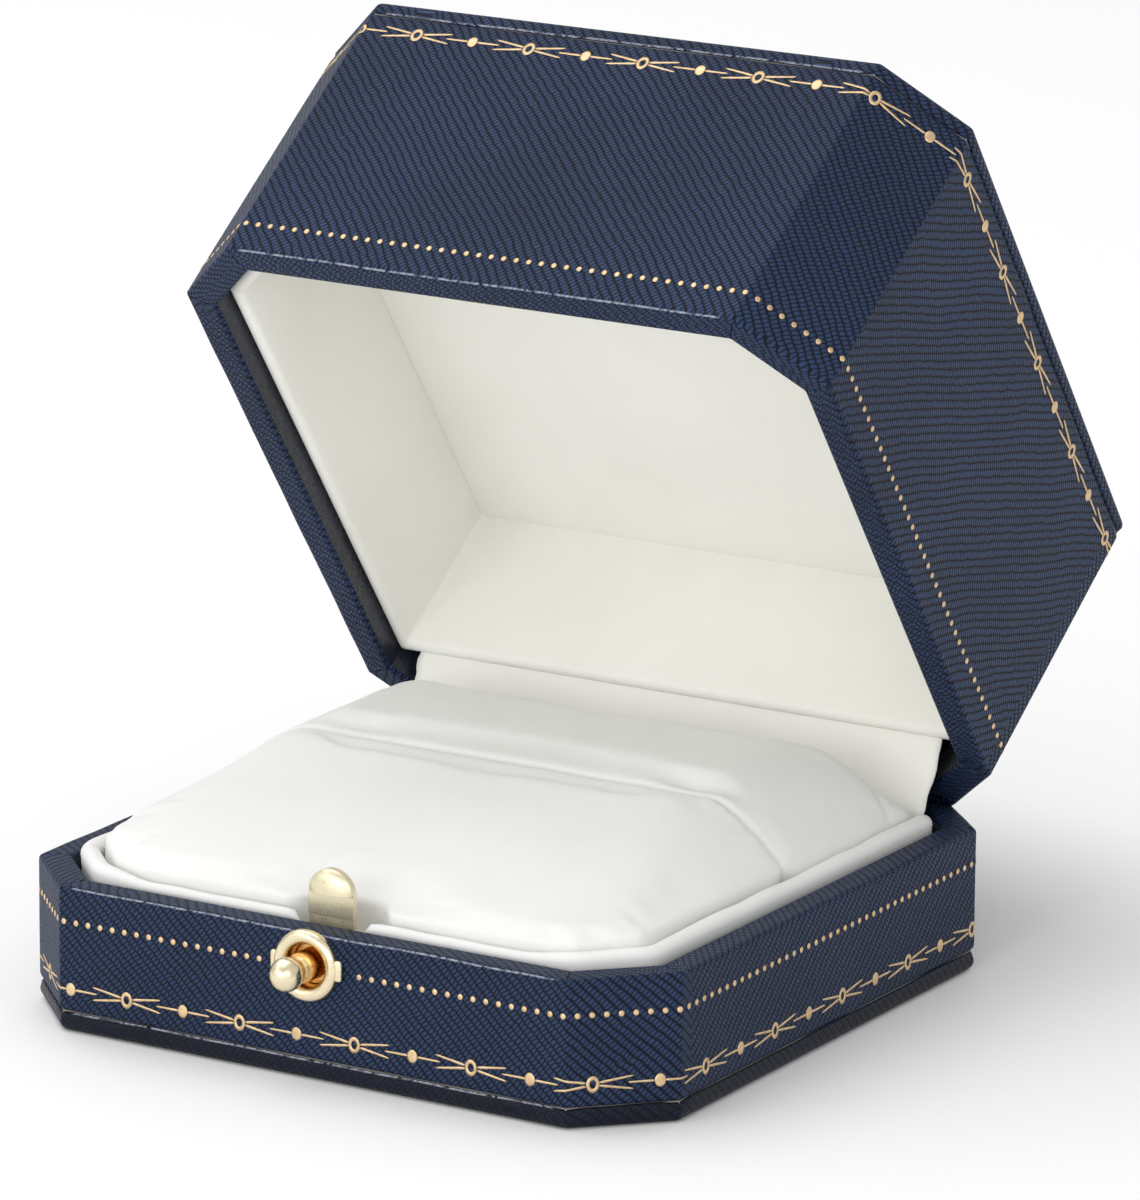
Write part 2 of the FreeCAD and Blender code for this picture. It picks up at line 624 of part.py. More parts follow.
def bracket_rivet_places():
    y = f"(-{INNER} + Sizes.bracket_length - Sizes.bracket_rivet_edge)"
    return [(f"{step} * Sizes.bracket_rivet_half", y) for step in (-1, 1)]


def latch_bracket():
    top = f"({FLOOR} + Sizes.bracket)"
    front = f"(-{INNER} + Sizes.bracket_gap)"
    pieces = [box(
        "bracket_plate", "-Sizes.bracket_half", "Sizes.bracket_half", front,
        f"({front} + Sizes.bracket_length)", FLOOR, top,
    )]
    for name, low in (("left", "(-Sizes.ear_inner - Sizes.bracket)"), ("right", "Sizes.ear_inner")):
        pieces.append(box(
            f"bracket_ear_{name}", low, f"({low} + Sizes.bracket)", f"({front} + Sizes.ear_setback)",
            f"(-{FOOT_Y} + Sizes.foot_radius)", FLOOR, f"({FOOT_Z} + Sizes.ear_rise)",
        ))
    holes = [rod(
        "bracket_pin_hole", "X", "Sizes.foot_pin_radius + Sizes.rivet_spare", "2 * Sizes.bracket_half",
        "-Sizes.bracket_half", f"-{FOOT_Y}", FOOT_Z,
    )]
    for index, (x, y) in enumerate(bracket_rivet_places()):
        radius = "Sizes.small_shank + Sizes.rivet_spare"
        holes.append(rod(f"bracket_rivet_hole_{index}", "Z", radius, "Sizes.bracket", x, y, FLOOR))
    nodes.append(cut("latch_bracket", fuse("bracket_solid", pieces), fuse("bracket_holes", holes)))

    rivets = []
    for index, (x, y) in enumerate(bracket_rivet_places()):
        shank = rod(
            f"bracket_shank_{index}", "Z", "Sizes.small_shank", "Sizes.floor_card + Sizes.bracket",
            x, y, "Sizes.board",
        )
        head = rod(f"bracket_head_{index}", "Z", "Sizes.small_head", "Sizes.rivet_head_height", x, y, top)
        rivets.append(fuse(f"bracket_rivet_{index}", [shank, head]))
    nodes.append(group("latch_bracket_rivets", rivets))

    reach = "(Sizes.ear_inner + Sizes.bracket + Sizes.pin_end)"
    nodes.append(rod(
        "latch_pivot_pin", "X", "Sizes.foot_pin_radius", f"2 * {reach}", f"-{reach}", f"-{FOOT_Y}", FOOT_Z
    ))
    room = value("Sizes.tongue_width / 2 - Sizes.foot_split")
    centre = FreeCAD.Vector(value(f"Sizes.foot_split + {room / 2}"), -value(FOOT_Y), value(FOOT_Z))
    nodes.append(torsion_spring(
        "tongue_spring", centre, FreeCAD.Vector(0, 0, -1), FreeCAD.Vector(0, 1, 0),
        turns=value("Sizes.latch_spring_turns"), radius=value("Sizes.latch_spring_radius"),
        wire=value("Sizes.latch_spring_wire"), pitch=value("Sizes.latch_spring_pitch"),
        legs=(value("Sizes.latch_spring_short_leg"), value("Sizes.latch_spring_long_leg")),
    ))


# Hinge

def hinge():
    end = "(Sizes.hinge_length / 2)"
    base_knuckle, lid_knuckle = "Sizes.base_knuckle", "Sizes.lid_knuckle"
    base_starts = (f"-{end}", f"(-{base_knuckle} / 2)", f"({end} - {base_knuckle})")
    lid_inner = f"({base_knuckle} / 2 + Sizes.knuckle_gap)"
    lid_starts = (f"(-{lid_inner} - {lid_knuckle})", lid_inner)
    base_leaf = hinge_leaf("hinge_base_leaf", -1, [(start, base_knuckle) for start in base_starts])
    lid_leaf = hinge_leaf("hinge_lid_leaf", 1, [(start, lid_knuckle) for start in lid_starts])
    front = f"({AXIS_Y} + Sizes.knuckle_radius - Sizes.leaf)"
    rear = f"({HALF} - Sizes.leather)"
    shank, head, head_height = "Sizes.rivet_shank", "Sizes.rivet_head", "Sizes.rivet_head_height"
    base_rivets = rivet_row(
        "hinge_base_rivets", leaf_rivet_places(-1), shank, head, head_height, front, rear
    )
    lid_rivets = rivet_row(
        "hinge_lid_rivets", leaf_rivet_places(1), shank, head, head_height, front, rear
    )
    half = "(Sizes.hinge_length / 2 + Sizes.pin_spare)"
    pin = [rod("hinge_pin_shank", "X", "Sizes.hinge_pin_radius", f"2 * {half}", f"-{half}", AXIS_Y, AXIS_Z)]
    for name, start in (("left", f"(-{half} - Sizes.pin_head)"), ("right", half)):
        pin.append(rod(
            f"hinge_pin_head_{name}", "X", "Sizes.pin_head_radius", "Sizes.pin_head", start, AXIS_Y, AXIS_Z
        ))
    nodes.extend([base_leaf, base_rivets, fuse("hinge_pin", pin), lid_leaf, lid_rivets])

    turn = value("Sizes.open_angle") / 360  # the part of a turn that brings the second leg onto the lid
    for name, way in (("left", -1), ("right", 1)):
        centre = FreeCAD.Vector(way * value("Sizes.spring_offset"), value(AXIS_Y), value(AXIS_Z))
        nodes.append(torsion_spring(
            f"hinge_spring_{name}", centre, FreeCAD.Vector(0, -1, 0), FreeCAD.Vector(0, 0, 1),
            turns=value("Sizes.spring_turns") + turn, radius=value("Sizes.spring_radius"),
            wire=value("Sizes.spring_wire"), pitch=value("Sizes.spring_pitch"),
            legs=[value("Sizes.spring_leg")] * 2,
        ))
    return [lid_leaf, lid_rivets]


def opened(y, z):
    """Where a place of the closed lid comes to rest when the lid is open."""
    angle = math.radians(value("Sizes.open_angle"))
    back, up = y - value(AXIS_Y), z - value(AXIS_Z)
    return (
        value(AXIS_Y) + back * math.cos(angle) + up * math.sin(angle),
        value(AXIS_Z) - back * math.sin(angle) + up * math.cos(angle),
    )


def strips():
    """The lining strip inside the joint and the spine strip outside it, as they lie with the lid open."""
    half, rim = value(HALF), value(RIM)
    foot = value("Sizes.gusset_foot")
    recess = value("Sizes.lining_recess")
    gap = value("Sizes.strip_gap")
    lining_edge = opened(value("Sizes.rear_panel") + gap, value(LID_RIM) + recess - gap)
    tail = value("Sizes.strip_tail")
    gusset = [(foot, rim - tail), (foot, rim + value("Sizes.gusset_knee")), lining_edge]
    nodes.append(bent_strip("hinge_gusset", gusset, value("Sizes.gusset"), value("Sizes.gusset_half")))

    outside = half + value("Sizes.spine_gap")
    start = opened(outside, value(LID_RIM) + tail)
    lid_end = opened(outside, value(LID_RIM) + value("Sizes.spine_free"))
    bulge, crease = value("Sizes.spine_bulge"), value("Sizes.spine_crease")
    spine = [
        start, lid_end, (outside + bulge, rim - bulge),
        (outside + crease, rim - value("Sizes.spine_crease_drop")),
        (outside, rim - value("Sizes.spine_turn_drop")), (outside, rim - tail),
    ]
    nodes.append(bent_strip("spine_strip", spine, value("Sizes.spine"), value("Sizes.spine_half")))


# Lid, drawn closed

def lid_wall():
    core = new_body("lid_wall_core")
    low = f"({LID_RIM} + Sizes.leather)"
    plate(core, octagon("Sizes.leather"), low, LID_TOP, [octagon(CORE_IN)])
    cut_leaf_recess(core, 1)
    cover = new_body("lid_wall_cover")
    plate(cover, octagon("0"), LID_RIM, LID_TOP, [octagon(WALL)])
    cut_plan(cover, [octagon("Sizes.leather"), octagon(CORE_IN)], low, LID_TOP)
    cut_plan(cover, [octagon(CORE_IN), octagon(WALL)], f"({LID_RIM} + Sizes.turn_in)", LID_TOP)
    for body in (core, cover):
        cut_rear_bevel(body, 1)
        cut_hinge_seat(body, 1)
        cut_holes(
            body, strike_rivet_places(), "Sizes.small_shank + Sizes.rivet_spare",
            f"(-{HALF} + Sizes.leather)", f"(-{INNER} + 0.5)",
        )
    nodes.extend([core, cover])
    return [core, cover]


def lid_inside():
    lining = new_body("lid_lining")
    low = f"({LID_RIM} + Sizes.lining_recess)"
    inner = cup_outline(f"({WALL} + Sizes.lining)", "(Sizes.rear_panel - Sizes.lining)")
    plate(lining, cup_outline(WALL, "Sizes.rear_panel"), low, CEILING, [inner])
    half = "(Sizes.strike_half + Sizes.strike_room)"
    relief = rectangle(f"-{half}", half, f"-{HALF}", f"-{INNER} + Sizes.lining + Sizes.strike_room")
    cut_plan(lining, [relief], low, f"({LID_RIM} + Sizes.strike_high + Sizes.strike_room)")

    pad_top = f"({CEILING} + Sizes.ceiling_pad)"
    board_top = f"({pad_top} + Sizes.ceiling_board)"
    inset = f"({WALL} + Sizes.slip)"
    outline = cup_outline(inset, "Sizes.rear_panel")
    pad = new_body("lid_ceiling_pad")
    plate(pad, outline, CEILING, pad_top)
    board = new_body("lid_ceiling_board")
    plate(board, outline, pad_top, board_top)
    spacer = new_body("lid_spacer_frame")
    hole = cup_outline(f"({inset} + Sizes.spacer_width)", "(Sizes.rear_panel - Sizes.spacer_width)")
    plate(spacer, outline, board_top, LID_TOP, [hole])
    pieces = [lining, pad, board, spacer]
    nodes.extend(pieces)
    return pieces


def strike_plate():
    front = f"(-{INNER})"
    rear = f"({front} + Sizes.strike)"
    low, high = f"({LID_RIM} + Sizes.strike_low)", f"({LID_RIM} + Sizes.strike_high)"
    body = new_body("strike_plate")
    sheet_metal = new_sketch(body, "XZ_Plane", INNER)
    draw_outline(sheet_metal, rectangle("-Sizes.strike_half", "Sizes.strike_half", low, high))
    draw_outline(sheet_metal, rectangle(
        "-Sizes.window_half", "Sizes.window_half",
        f"({LID_RIM} + Sizes.window_low)", f"({LID_RIM} + Sizes.window_high)",
    ))
    extrude(body, sheet_metal, "Sizes.strike", toward=-1)
    radius = "Sizes.small_shank + Sizes.rivet_spare"
    cut_holes(body, strike_rivet_places(), radius, f"({front} - 0.5)", f"({rear} + 0.5)")
    rivets = rivet_row(
        "strike_rivets", strike_rivet_places(), "Sizes.small_shank", "Sizes.small_head",
        "Sizes.rivet_head_height", rear, f"(-{HALF} + Sizes.leather)",
    )
    nodes.extend([body, rivets])
    return [body, rivets]


def open_lid(pieces):
    """Turns the lid's pieces from closed to open about the hinge pin."""
    pivot = FreeCAD.Vector(0, value(AXIS_Y), value(AXIS_Z))
    turn = FreeCAD.Rotation(FreeCAD.Vector(1, 0, 0), -value("Sizes.open_angle"))
    for piece in pieces:
        piece.Placement = FreeCAD.Placement(FreeCAD.Vector(), turn, pivot)


def check_model():
    """Stops the build if anything failed to compute or a pocket took nothing away."""
    failed = [item.Name for item in doc.Objects if {"Invalid", "Error"} & set(item.State)]
    if failed:
        raise RuntimeError(f"failed to compute: {failed}")
    for item in doc.Objects:
        if item.TypeId == "PartDesign::Pocket":
            if item.Shape.Volume > item.BaseFeature.Shape.Volume - 1e-4:
                raise RuntimeError(f"{item.Name} cuts nothing")
    for node in nodes:
        if node.Shape.isNull() or not node.Shape.isValid() or not node.Shape.Solids:
            raise RuntimeError(f"{node.Label} has no valid solid")


covered_board("bottom_board", "bottom_cover", "0", "Sizes.board", "0", -1)
base_wall()
base_inside()
cushion()
escutcheon()
push_button()
latch_tongue()
latch_bracket()
lid_pieces = hinge()
lid_pieces += lid_wall()
lid_pieces += covered_board(
    "lid_top_board", "lid_top_cover", LID_TOP, f"({LID_TOP} + Sizes.top_board)",
    f"({LID_TOP} + Sizes.top_board)", 1,
)
lid_pieces += lid_inside()
lid_pieces += strike_plate()
strips()
open_lid(lid_pieces)
doc.recompute()
check_model()

os.makedirs("parts", exist_ok=True)
for node in nodes:
    node.Shape.exportStep(f"parts/{node.Label}.step")
    print(f"{node.Label}: {len(node.Shape.Solids)} solid(s), {node.Shape.Volume:.2f} mm3")
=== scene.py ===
"""Looks for the ring box: leatherette shells with gilt tooling, padded linings, a two-pad cushion and a
brass latch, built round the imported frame. Sizes are in millimetres until a mesh is made.

The lid's pieces are drawn closed and turned open about the hinge axis. Wall coordinates run along the
outer face: distance from the front left corner, counter-clockwise seen from above, and height.
"""
import json
import math

import bmesh
import bpy
from mathutils import Matrix, Vector, noise


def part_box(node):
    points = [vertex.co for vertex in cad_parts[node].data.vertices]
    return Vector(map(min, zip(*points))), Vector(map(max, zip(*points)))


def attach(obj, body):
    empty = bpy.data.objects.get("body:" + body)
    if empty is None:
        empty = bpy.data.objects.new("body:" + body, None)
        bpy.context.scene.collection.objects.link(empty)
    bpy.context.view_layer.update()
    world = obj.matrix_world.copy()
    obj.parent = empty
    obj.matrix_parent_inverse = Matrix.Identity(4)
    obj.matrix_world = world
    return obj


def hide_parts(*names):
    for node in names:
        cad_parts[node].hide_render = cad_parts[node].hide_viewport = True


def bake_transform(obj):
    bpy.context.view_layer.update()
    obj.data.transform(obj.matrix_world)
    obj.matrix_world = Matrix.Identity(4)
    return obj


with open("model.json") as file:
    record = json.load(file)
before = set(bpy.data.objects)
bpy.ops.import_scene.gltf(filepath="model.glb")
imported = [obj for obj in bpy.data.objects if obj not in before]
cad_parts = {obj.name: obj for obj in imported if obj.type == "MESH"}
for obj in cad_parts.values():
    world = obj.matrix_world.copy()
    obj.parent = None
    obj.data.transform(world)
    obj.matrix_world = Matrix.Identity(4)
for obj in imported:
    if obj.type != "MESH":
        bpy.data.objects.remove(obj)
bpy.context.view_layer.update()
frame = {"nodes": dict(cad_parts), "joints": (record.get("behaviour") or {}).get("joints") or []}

MM = 0.001


def cad(node):
    """Lowest and highest corner of a CAD node, in millimetres."""
    low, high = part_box(node)
    return low / MM, high / MM


JOINTS = {joint["name"]: joint for joint in frame["joints"]}
HINGE = Vector(JOINTS["lid_hinge"]["pos_m"]) / MM
OPEN_ANGLE = math.radians(abs(JOINTS["lid_hinge"]["range_deg"][0]))
AXIS_Y, AXIS_Z = HINGE.y, HINGE.z

# Walls and boards
HALF = cad("base_wall_cover")[1].x
BOARD_TOP, RIM = cad("base_wall_cover")[0].z, cad("base_wall_cover")[1].z
CHAMFER = 7.6
WALL = 3.0
LEATHER = 0.38
FOLD = 0.45
TURN_IN = 6.9
UNDER_RIM = 0.42
LID_RIM = RIM + 0.4
LID_WALL_TOP = LID_RIM + 31.4
TOP_BOARD = 1.8
WALL_COUNTS = (36, 7, 36, 7, 36, 7, 36, 7)

# Latch
BUTTON_Z = (cad("push_button")[0].z + cad("push_button")[1].z) / 2
BUTTON_HOLE = 2.52
BORE = 2.3
NOSE_BULGE = 0.82
STRIP_FRONT, STRIP_THICK, STRIP_FOOT = 0.7, 0.5, 7.0

# Cushion and collar
FLOOR_CARD_TOP = cad("base_floor_card")[1].z
CROWN = cad("cushion_rear_pad")[1].z
PAD_FOOT = cad("cushion_rear_pad")[0].z
PAD_INSET = 5.35
PAD_REAR_TOP = 24.0
SLOT_Y = 1.0
COLLAR_RISE = 1.25

# Lid lining
LINING_LOW, CEILING = LID_RIM + 2.3, LID_RIM + 19.5
LINING_REAR, LINING_ROLL = 26.08, 0.75
LINING_COUNTS = (34, 7, 36, 38, 36, 7)
CEILING_REAR, CEILING_EDGE = 26.05, 3.08
CEILING_COUNTS = (30, 5, 30, 34, 30, 5)

# Rear bevel and the seat of the hinge
BEVEL_SLOPE = math.tan(OPEN_ANGLE / 2 + math.radians(0.4))
BEVEL_FROM = AXIS_Y + (AXIS_Z - RIM) / BEVEL_SLOPE
SEAT_HALF, SEAT_FRONT, SEAT_REAR, SEAT_DEEP = 21.0, 31.0, AXIS_Y + 1.1, 1.1

# Gilt tooling
DOT_PITCH, DOT_SIZE = 1.35, (0.29, 0.31)
CHAIN_PITCH, RING_SIZE, BEAD_SIZE = 12.45, (0.62, 0.80), (0.54, 0.64)
DOTS_FROM_RIM, CHAIN_FROM_BOARD = 3.4, 2.2
LATCH_GAP = 4.3
FOIL_LIFT, FOIL_THICK = 0.03, 0.05


def opened():
    """Matrix that turns a closed lid piece to its open place, in metres."""
    pivot = Matrix.Translation(HINGE * MM)
    return pivot @ Matrix.Rotation(-OPEN_ANGLE, 4, "X") @ pivot.inverted()


# Outlines in plan

def smooth(value):
    value = min(max(value, 0.0), 1.0)
    return value * value * (3 - 2 * value)


def octagon_corners(inset):
    half = HALF - inset
    flat = HALF - CHAMFER - inset * (math.sqrt(2) - 1)
    return [(-flat, -half), (flat, -half), (half, -flat), (half, flat),
            (flat, half), (-flat, half), (-half, flat), (-half, -flat)]


def cup_corners(inset, rear):
    """Chamfered in front and square at the rear."""
    half = HALF - inset
    flat = HALF - CHAMFER - inset * (math.sqrt(2) - 1)
    return [(-flat, -half), (flat, -half), (half, -flat), (half, rear), (-half, rear), (-half, -flat)]


def rounded_ring(corners, radius, counts, snaps=()):
    """Points round a closed outline with rounded corners. Each holds its place, its part of the outline
    and whether it is the middle of a corner. counts are the steps along each side, and snaps are
    (axis, value) crossings that get a point."""
    corners = [Vector(corner) for corner in corners]
    total = len(corners)
    ring = []
    for index, corner in enumerate(corners):
        before = (corner - corners[index - 1]).normalized()
        after = (corners[(index + 1) % total] - corner).normalized()
        turn = before.angle(after)
        reach = radius * math.tan(turn / 2)
        centre = corner - before * reach + Vector((-before.y, before.x)) * radius
        for step in range(5):
            angle = turn * step / 4
            out = Vector((before.y, -before.x))
            spoke = Vector((out.x * math.cos(angle) - out.y * math.sin(angle),
                            out.x * math.sin(angle) + out.y * math.cos(angle)))
            ring.append((centre + spoke * radius, index - 0.5, step == 2))
        count = counts[index]
        start = corner + after * reach
        following = corners[(index + 1) % total]
        end_turn = after.angle(corners[(index + 2) % total] - following)
        end = following - after * radius * math.tan(end_turn / 2)
        inner = [start.lerp(end, step / count) for step in range(1, count)]
        for axis, level in snaps:
            span = end[axis] - start[axis]
            if abs(span) < 1e-6 or not 0.02 < (level - start[axis]) / span < 0.98:
                continue
            share = (level - start[axis]) / span
            nearest = min(range(len(inner)), key=lambda item: abs((item + 1) / count - share))
            inner[nearest] = start.lerp(end, share)
        ring += [(point, index, False) for point in inner]
    return ring


def wall_ring(inset):
    snaps = [(1, BEVEL_FROM), (0, SEAT_HALF), (0, SEAT_HALF - 0.1), (0, -SEAT_HALF), (0, 0.1 - SEAT_HALF)]
    return rounded_ring(octagon_corners(inset), 0.5, counts=WALL_COUNTS, snaps=snaps)


def lengths_along(points):
    total, found = 0.0, [0.0]
    for start, end in zip(points, points[1:] + points[:1]):
        total += (end - start).length
        found.append(total)
    return found


OUTER = [Vector((*point, 0)) for point, _, _ in wall_ring(0)]
OUTER_LENGTHS = lengths_along(OUTER)
# Wall distance is counted from the corner itself, which lies in the middle of its rounding
OUTER_START = OUTER_LENGTHS[2]


def on_wall(distance, height, lift):
    """A place on the outer wall face, lift outside it, in millimetres."""
    distance = (distance + OUTER_START) % OUTER_LENGTHS[-1]
    index = max(i for i, length in enumerate(OUTER_LENGTHS[:-1]) if length <= distance)
    start, end = OUTER[index], OUTER[(index + 1) % len(OUTER)]
    way = (end - start).normalized()
    place = start + way * (distance - OUTER_LENGTHS[index])
    return place + Vector((way.y, -way.x, 0)) * lift + Vector((0, 0, height))


# Meshes

def new_object(name, bm, material, body, lid=False):
    """Makes a piece from a bmesh in millimetres and lets it ride on its body."""
    bm.normal_update()
    mesh = bpy.data.meshes.new(name)
    for face in bm.faces:
        face.smooth = True
    bm.to_mesh(mesh)
    bm.free()
    mesh.transform(Matrix.Scale(MM, 4))
    if lid:
        mesh.transform(opened())
    mesh.materials.append(material)
    piece = bpy.data.objects.new(name, mesh)
    bpy.context.scene.collection.objects.link(piece)
    if body:
        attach(piece, body)
    return piece


def apply_modifiers(piece):
    """Replaces the mesh with the one its modifiers give."""
    bpy.context.view_layer.update()
    graph = bpy.context.evaluated_depsgraph_get()
    final = bpy.data.meshes.new_from_object(piece.evaluated_get(graph), depsgraph=graph)
    old = piece.data
    piece.modifiers.clear()
    piece.data = final
    bpy.data.meshes.remove(old)
    final.name = piece.name


def sharpen(piece, degrees=40):
    """Smooth shading that keeps edges over this angle crisp."""
    mesh = piece.data
    bm = bmesh.new()
    bm.from_mesh(mesh)
    for edge in bm.edges:
        if len(edge.link_faces) == 2:
            edge.smooth = edge.calc_face_angle(0) < math.radians(degrees)
    bm.to_mesh(mesh)
    bm.free()


def sweep(rows, closed_profile=True, cap_first=False, cap_last=False, wear_and_highlight=None, mirrored=()):
    """A bmesh of quads between rows of points round a closed outline. Rows hold (point, part, corner).
    The map called grain is in millimetres: distance round the wall and distance along the profile.
    Parts listed in mirrored get the grain the other way round."""
    bm = bmesh.new()
    layer = bm.loops.layers.uv.new("grain")
    worn_and_lit = bm.verts.layers.float.new("wear_and_highlight")
    count = len(rows[0])
    grid = []
    for index, row in enumerate(rows):
        line = [bm.verts.new(point) for point, _, _ in row]
        for vert, (_, part, _) in zip(line, row):
            # Per-point level of a light line along the rounded edges, given to the front face only: partly
            # rubbed wear, partly a painted highlight where the edge catches the light.
            vert[worn_and_lit] = wear_and_highlight[index] if wear_and_highlight and part == 0 else 0.0
        grid.append(line)
    first = [point for point, _, _ in rows[0]]
    across = lengths_along(first)
    along = [0.0]
    for row, following in zip(rows, rows[1:] + rows[:1]):
        along.append(along[-1] + (following[count // 3][0] - row[count // 3][0]).length)
    steps = len(rows) if closed_profile else len(rows) - 1
    for j in range(steps):
        low, high = grid[j], grid[(j + 1) % len(rows)]
        for i in range(count):
            after = (i + 1) % count
            face = bm.faces.new((low[i], low[after], high[after], high[i]))
            flip = -1 if math.ceil(rows[0][i][1]) in mirrored and rows[0][i][1] % 1 == 0 else 1
            places = ((i, j), (i + 1, j), (i + 1, j + 1), (i, j + 1))
            for loop, (column, line) in zip(face.loops, places):
                loop[layer].uv = (flip * across[column], along[line])
    for wanted, line, turned in ((cap_first, grid[0], True), (cap_last, grid[-1], False)):
        if wanted:
            face = bm.faces.new(line[::-1] if turned else line)
            for loop in face.loops:
                loop[layer].uv = (loop.vert.co.x, loop.vert.co.y)
    return bm


def bridge(bm, row, following):
    """Quads between two closed rows of vertices."""
    for step in range(len(row)):
        after = (step + 1) % len(row)
        bm.faces.new((row[step], row[after], following[after], following[step]))


def cut(piece, bm, name, lid=False):
    """Cuts the shape of a bmesh out of a piece, with a passing object of the given name."""
    tool = new_object(name, bm, piece.data.materials[0], None, lid=lid)
    modifier = piece.modifiers.new("cut", "BOOLEAN")
    modifier.object = tool
    modifier.solver = "EXACT"
    apply_modifiers(piece)
    bpy.data.objects.remove(tool)


def thicken(piece, thickness, offset):
    """Gives a surface a thickness; offset -1 puts it all inside, 0 half on each side."""
    modifier = piece.modifiers.new("thickness", "SOLIDIFY")
    modifier.thickness = thickness * MM
    modifier.offset = offset
    apply_modifiers(piece)


def arc(centre, radius, start, end, steps):
    """Points of a profile arc, in degrees."""
    found = []
    for step in range(steps + 1):
        angle = math.radians(start + (end - start) * step / steps)
        found.append((centre[0] + radius * math.cos(angle), centre[1] + radius * math.sin(angle)))
    return found


# Materials

def add_node(tree, kind, sockets=None, **settings):
    made = tree.nodes.new("ShaderNode" + kind)
    for key, setting in settings.items():
        setattr(made, key, setting)
    for key, given in (sockets or {}).items():
        if isinstance(given, bpy.types.NodeSocket):
            tree.links.new(given, made.inputs[key])
        else:
            made.inputs[key].default_value = given
    return made


def calc(tree, operation, *terms):
    sockets = {index: term for index, term in enumerate(terms)}
    return add_node(tree, "Math", sockets, operation=operation).outputs[0]


def blend_colour(tree, share, first, second):
    mix = add_node(tree, "Mix", data_type="RGBA")
    for socket, given in zip((mix.inputs[0], mix.inputs[6], mix.inputs[7]), (share, first, second)):
        if isinstance(given, bpy.types.NodeSocket):
            tree.links.new(given, socket)
        else:
            socket.default_value = given if not isinstance(given, tuple) else (*given, 1)
    return mix.outputs[2]


def ramp(tree, source, low, high, to_low=0.0, to_high=1.0):
    sockets = {"Value": source, "From Min": low, "From Max": high, "To Min": to_low, "To Max": to_high}
    return add_node(tree, "MapRange", sockets, clamp=True).outputs[0]


def noise_value(tree, vector, scale, detail=2.0, roughness=0.5):
    sockets = {"Vector": vector, "Scale": scale, "Detail": detail, "Roughness": roughness}
    return add_node(tree, "TexNoise", sockets).outputs["Fac"]


def new_material(name, **values):
    """A Principled material with the given socket values; gives its tree and shader too."""
    material = bpy.data.materials.new(name)
    material.use_nodes = True
    tree = material.node_tree
    shader = next(item for item in tree.nodes if item.type == "BSDF_PRINCIPLED")
    for key, given in values.items():
        shader.inputs[key.replace("_", " ")].default_value = given
    return material, tree, shader


def object_place(tree):
    """Place on the object in millimetres."""
    place = add_node(tree, "TexCoord").outputs["Object"]
    return add_node(tree, "VectorMath", {0: place, 3: 1 / MM}, operation="SCALE").outputs[0]


def set_bump(tree, shader, height, distance):
    sockets = {"Height": height, "Distance": distance * MM, "Strength": 1.0}
    normal = add_node(tree, "Bump", sockets).outputs["Normal"]
    tree.links.new(normal, shader.inputs["Normal"])


def ridge_height(tree, coordinate, sharpness):
    """A rounded ridge for every whole step of the coordinate."""
    part = calc(tree, "FRACT", coordinate)
    centred = calc(tree, "ABSOLUTE", calc(tree, "MULTIPLY_ADD", part, 2.0, -1.0))
    return calc(tree, "SUBTRACT", 1.0, calc(tree, "POWER", centred, sharpness))


def cross_grain_leather(name, ridge, groove, roughness, relief=0.11):
    """Leatherette with diagonal ridges that are broken into short dashes across."""
    material, tree, shader = new_material(name, Specular_IOR_Level=0.17)
    place = add_node(tree, "UVMap", uv_map="grain").outputs["UV"]
    split = add_node(tree, "SeparateXYZ", {0: place})
    wander = calc(tree, "SUBTRACT", noise_value(tree, place, 0.09, 1.0), 0.5)
    flutter = calc(tree, "SUBTRACT", noise_value(tree, place, 0.8, 1.0), 0.5)
    slant, pitch, dash = math.radians(44), 0.75, 0.4
    across_ridge = calc(
        tree, "ADD",
        calc(tree, "MULTIPLY", split.outputs[0], math.sin(slant) / pitch),
        calc(tree, "MULTIPLY", split.outputs[1], math.cos(slant) / pitch),
    )
    across_ridge = calc(tree, "MULTIPLY_ADD", wander, 1.1, across_ridge)
    across_ridge = calc(tree, "MULTIPLY_ADD", flutter, 0.45, across_ridge)
    along_ridge = calc(
        tree, "SUBTRACT",
        calc(tree, "MULTIPLY", split.outputs[0], math.cos(slant) / dash),
        calc(tree, "MULTIPLY", split.outputs[1], math.sin(slant) / dash),
    )
    row = calc(tree, "FLOOR", across_ridge)
    shift = add_node(tree, "TexWhiteNoise", {"W": row}, noise_dimensions="1D").outputs["Value"]
    along_ridge = calc(tree, "ADD", calc(tree, "MULTIPLY_ADD", flutter, 0.9, along_ridge), shift)
    height = calc(tree, "MULTIPLY", ridge_height(tree, across_ridge, 3.0),
                  ramp(tree, ridge_height(tree, along_ridge, 2.0), 0.0, 0.9, 0.2, 1.0))
    fine = noise_value(tree, place, 7.0, 2.0)
    relief_height = calc(tree, "MULTIPLY_ADD", fine, 0.25, height)
    set_bump(tree, shader, relief_height, relief)
    tone = ramp(tree, noise_value(tree, place, 0.05, 3.0), 0.3, 0.7, 0.82, 1.12)
    colour = blend_colour(tree, ramp(tree, height, 0.25, 0.95), groove, ridge)
    scaled = add_node(tree, "VectorMath", {0: colour, 3: tone}, operation="SCALE").outputs[0]
    # Lighter blue-grey along the front rounded edges, broken into dashes: partly rubbed wear, partly a
    # painted highlight where the edge catches the light.
    worn_and_lit = add_node(tree, "Attribute", attribute_name="wear_and_highlight").outputs["Fac"]
    patchy = ramp(tree, noise_value(tree, place, 1.3, 3.0, 0.7), 0.38, 0.56)
    share = calc(tree, "MULTIPLY", ramp(tree, worn_and_lit, 0.45, 0.9), calc(tree, "MULTIPLY", patchy, 0.7))
    scuff_and_highlight_colour = (0.50, 0.53, 0.62)
    final = blend_colour(tree, share, scaled, scuff_and_highlight_colour)
    tree.links.new(final, shader.inputs["Base Color"])
    gloss = ramp(tree, height, 0.0, 1.0, roughness + 0.14, roughness)
    tree.links.new(gloss, shader.inputs["Roughness"])
    return material


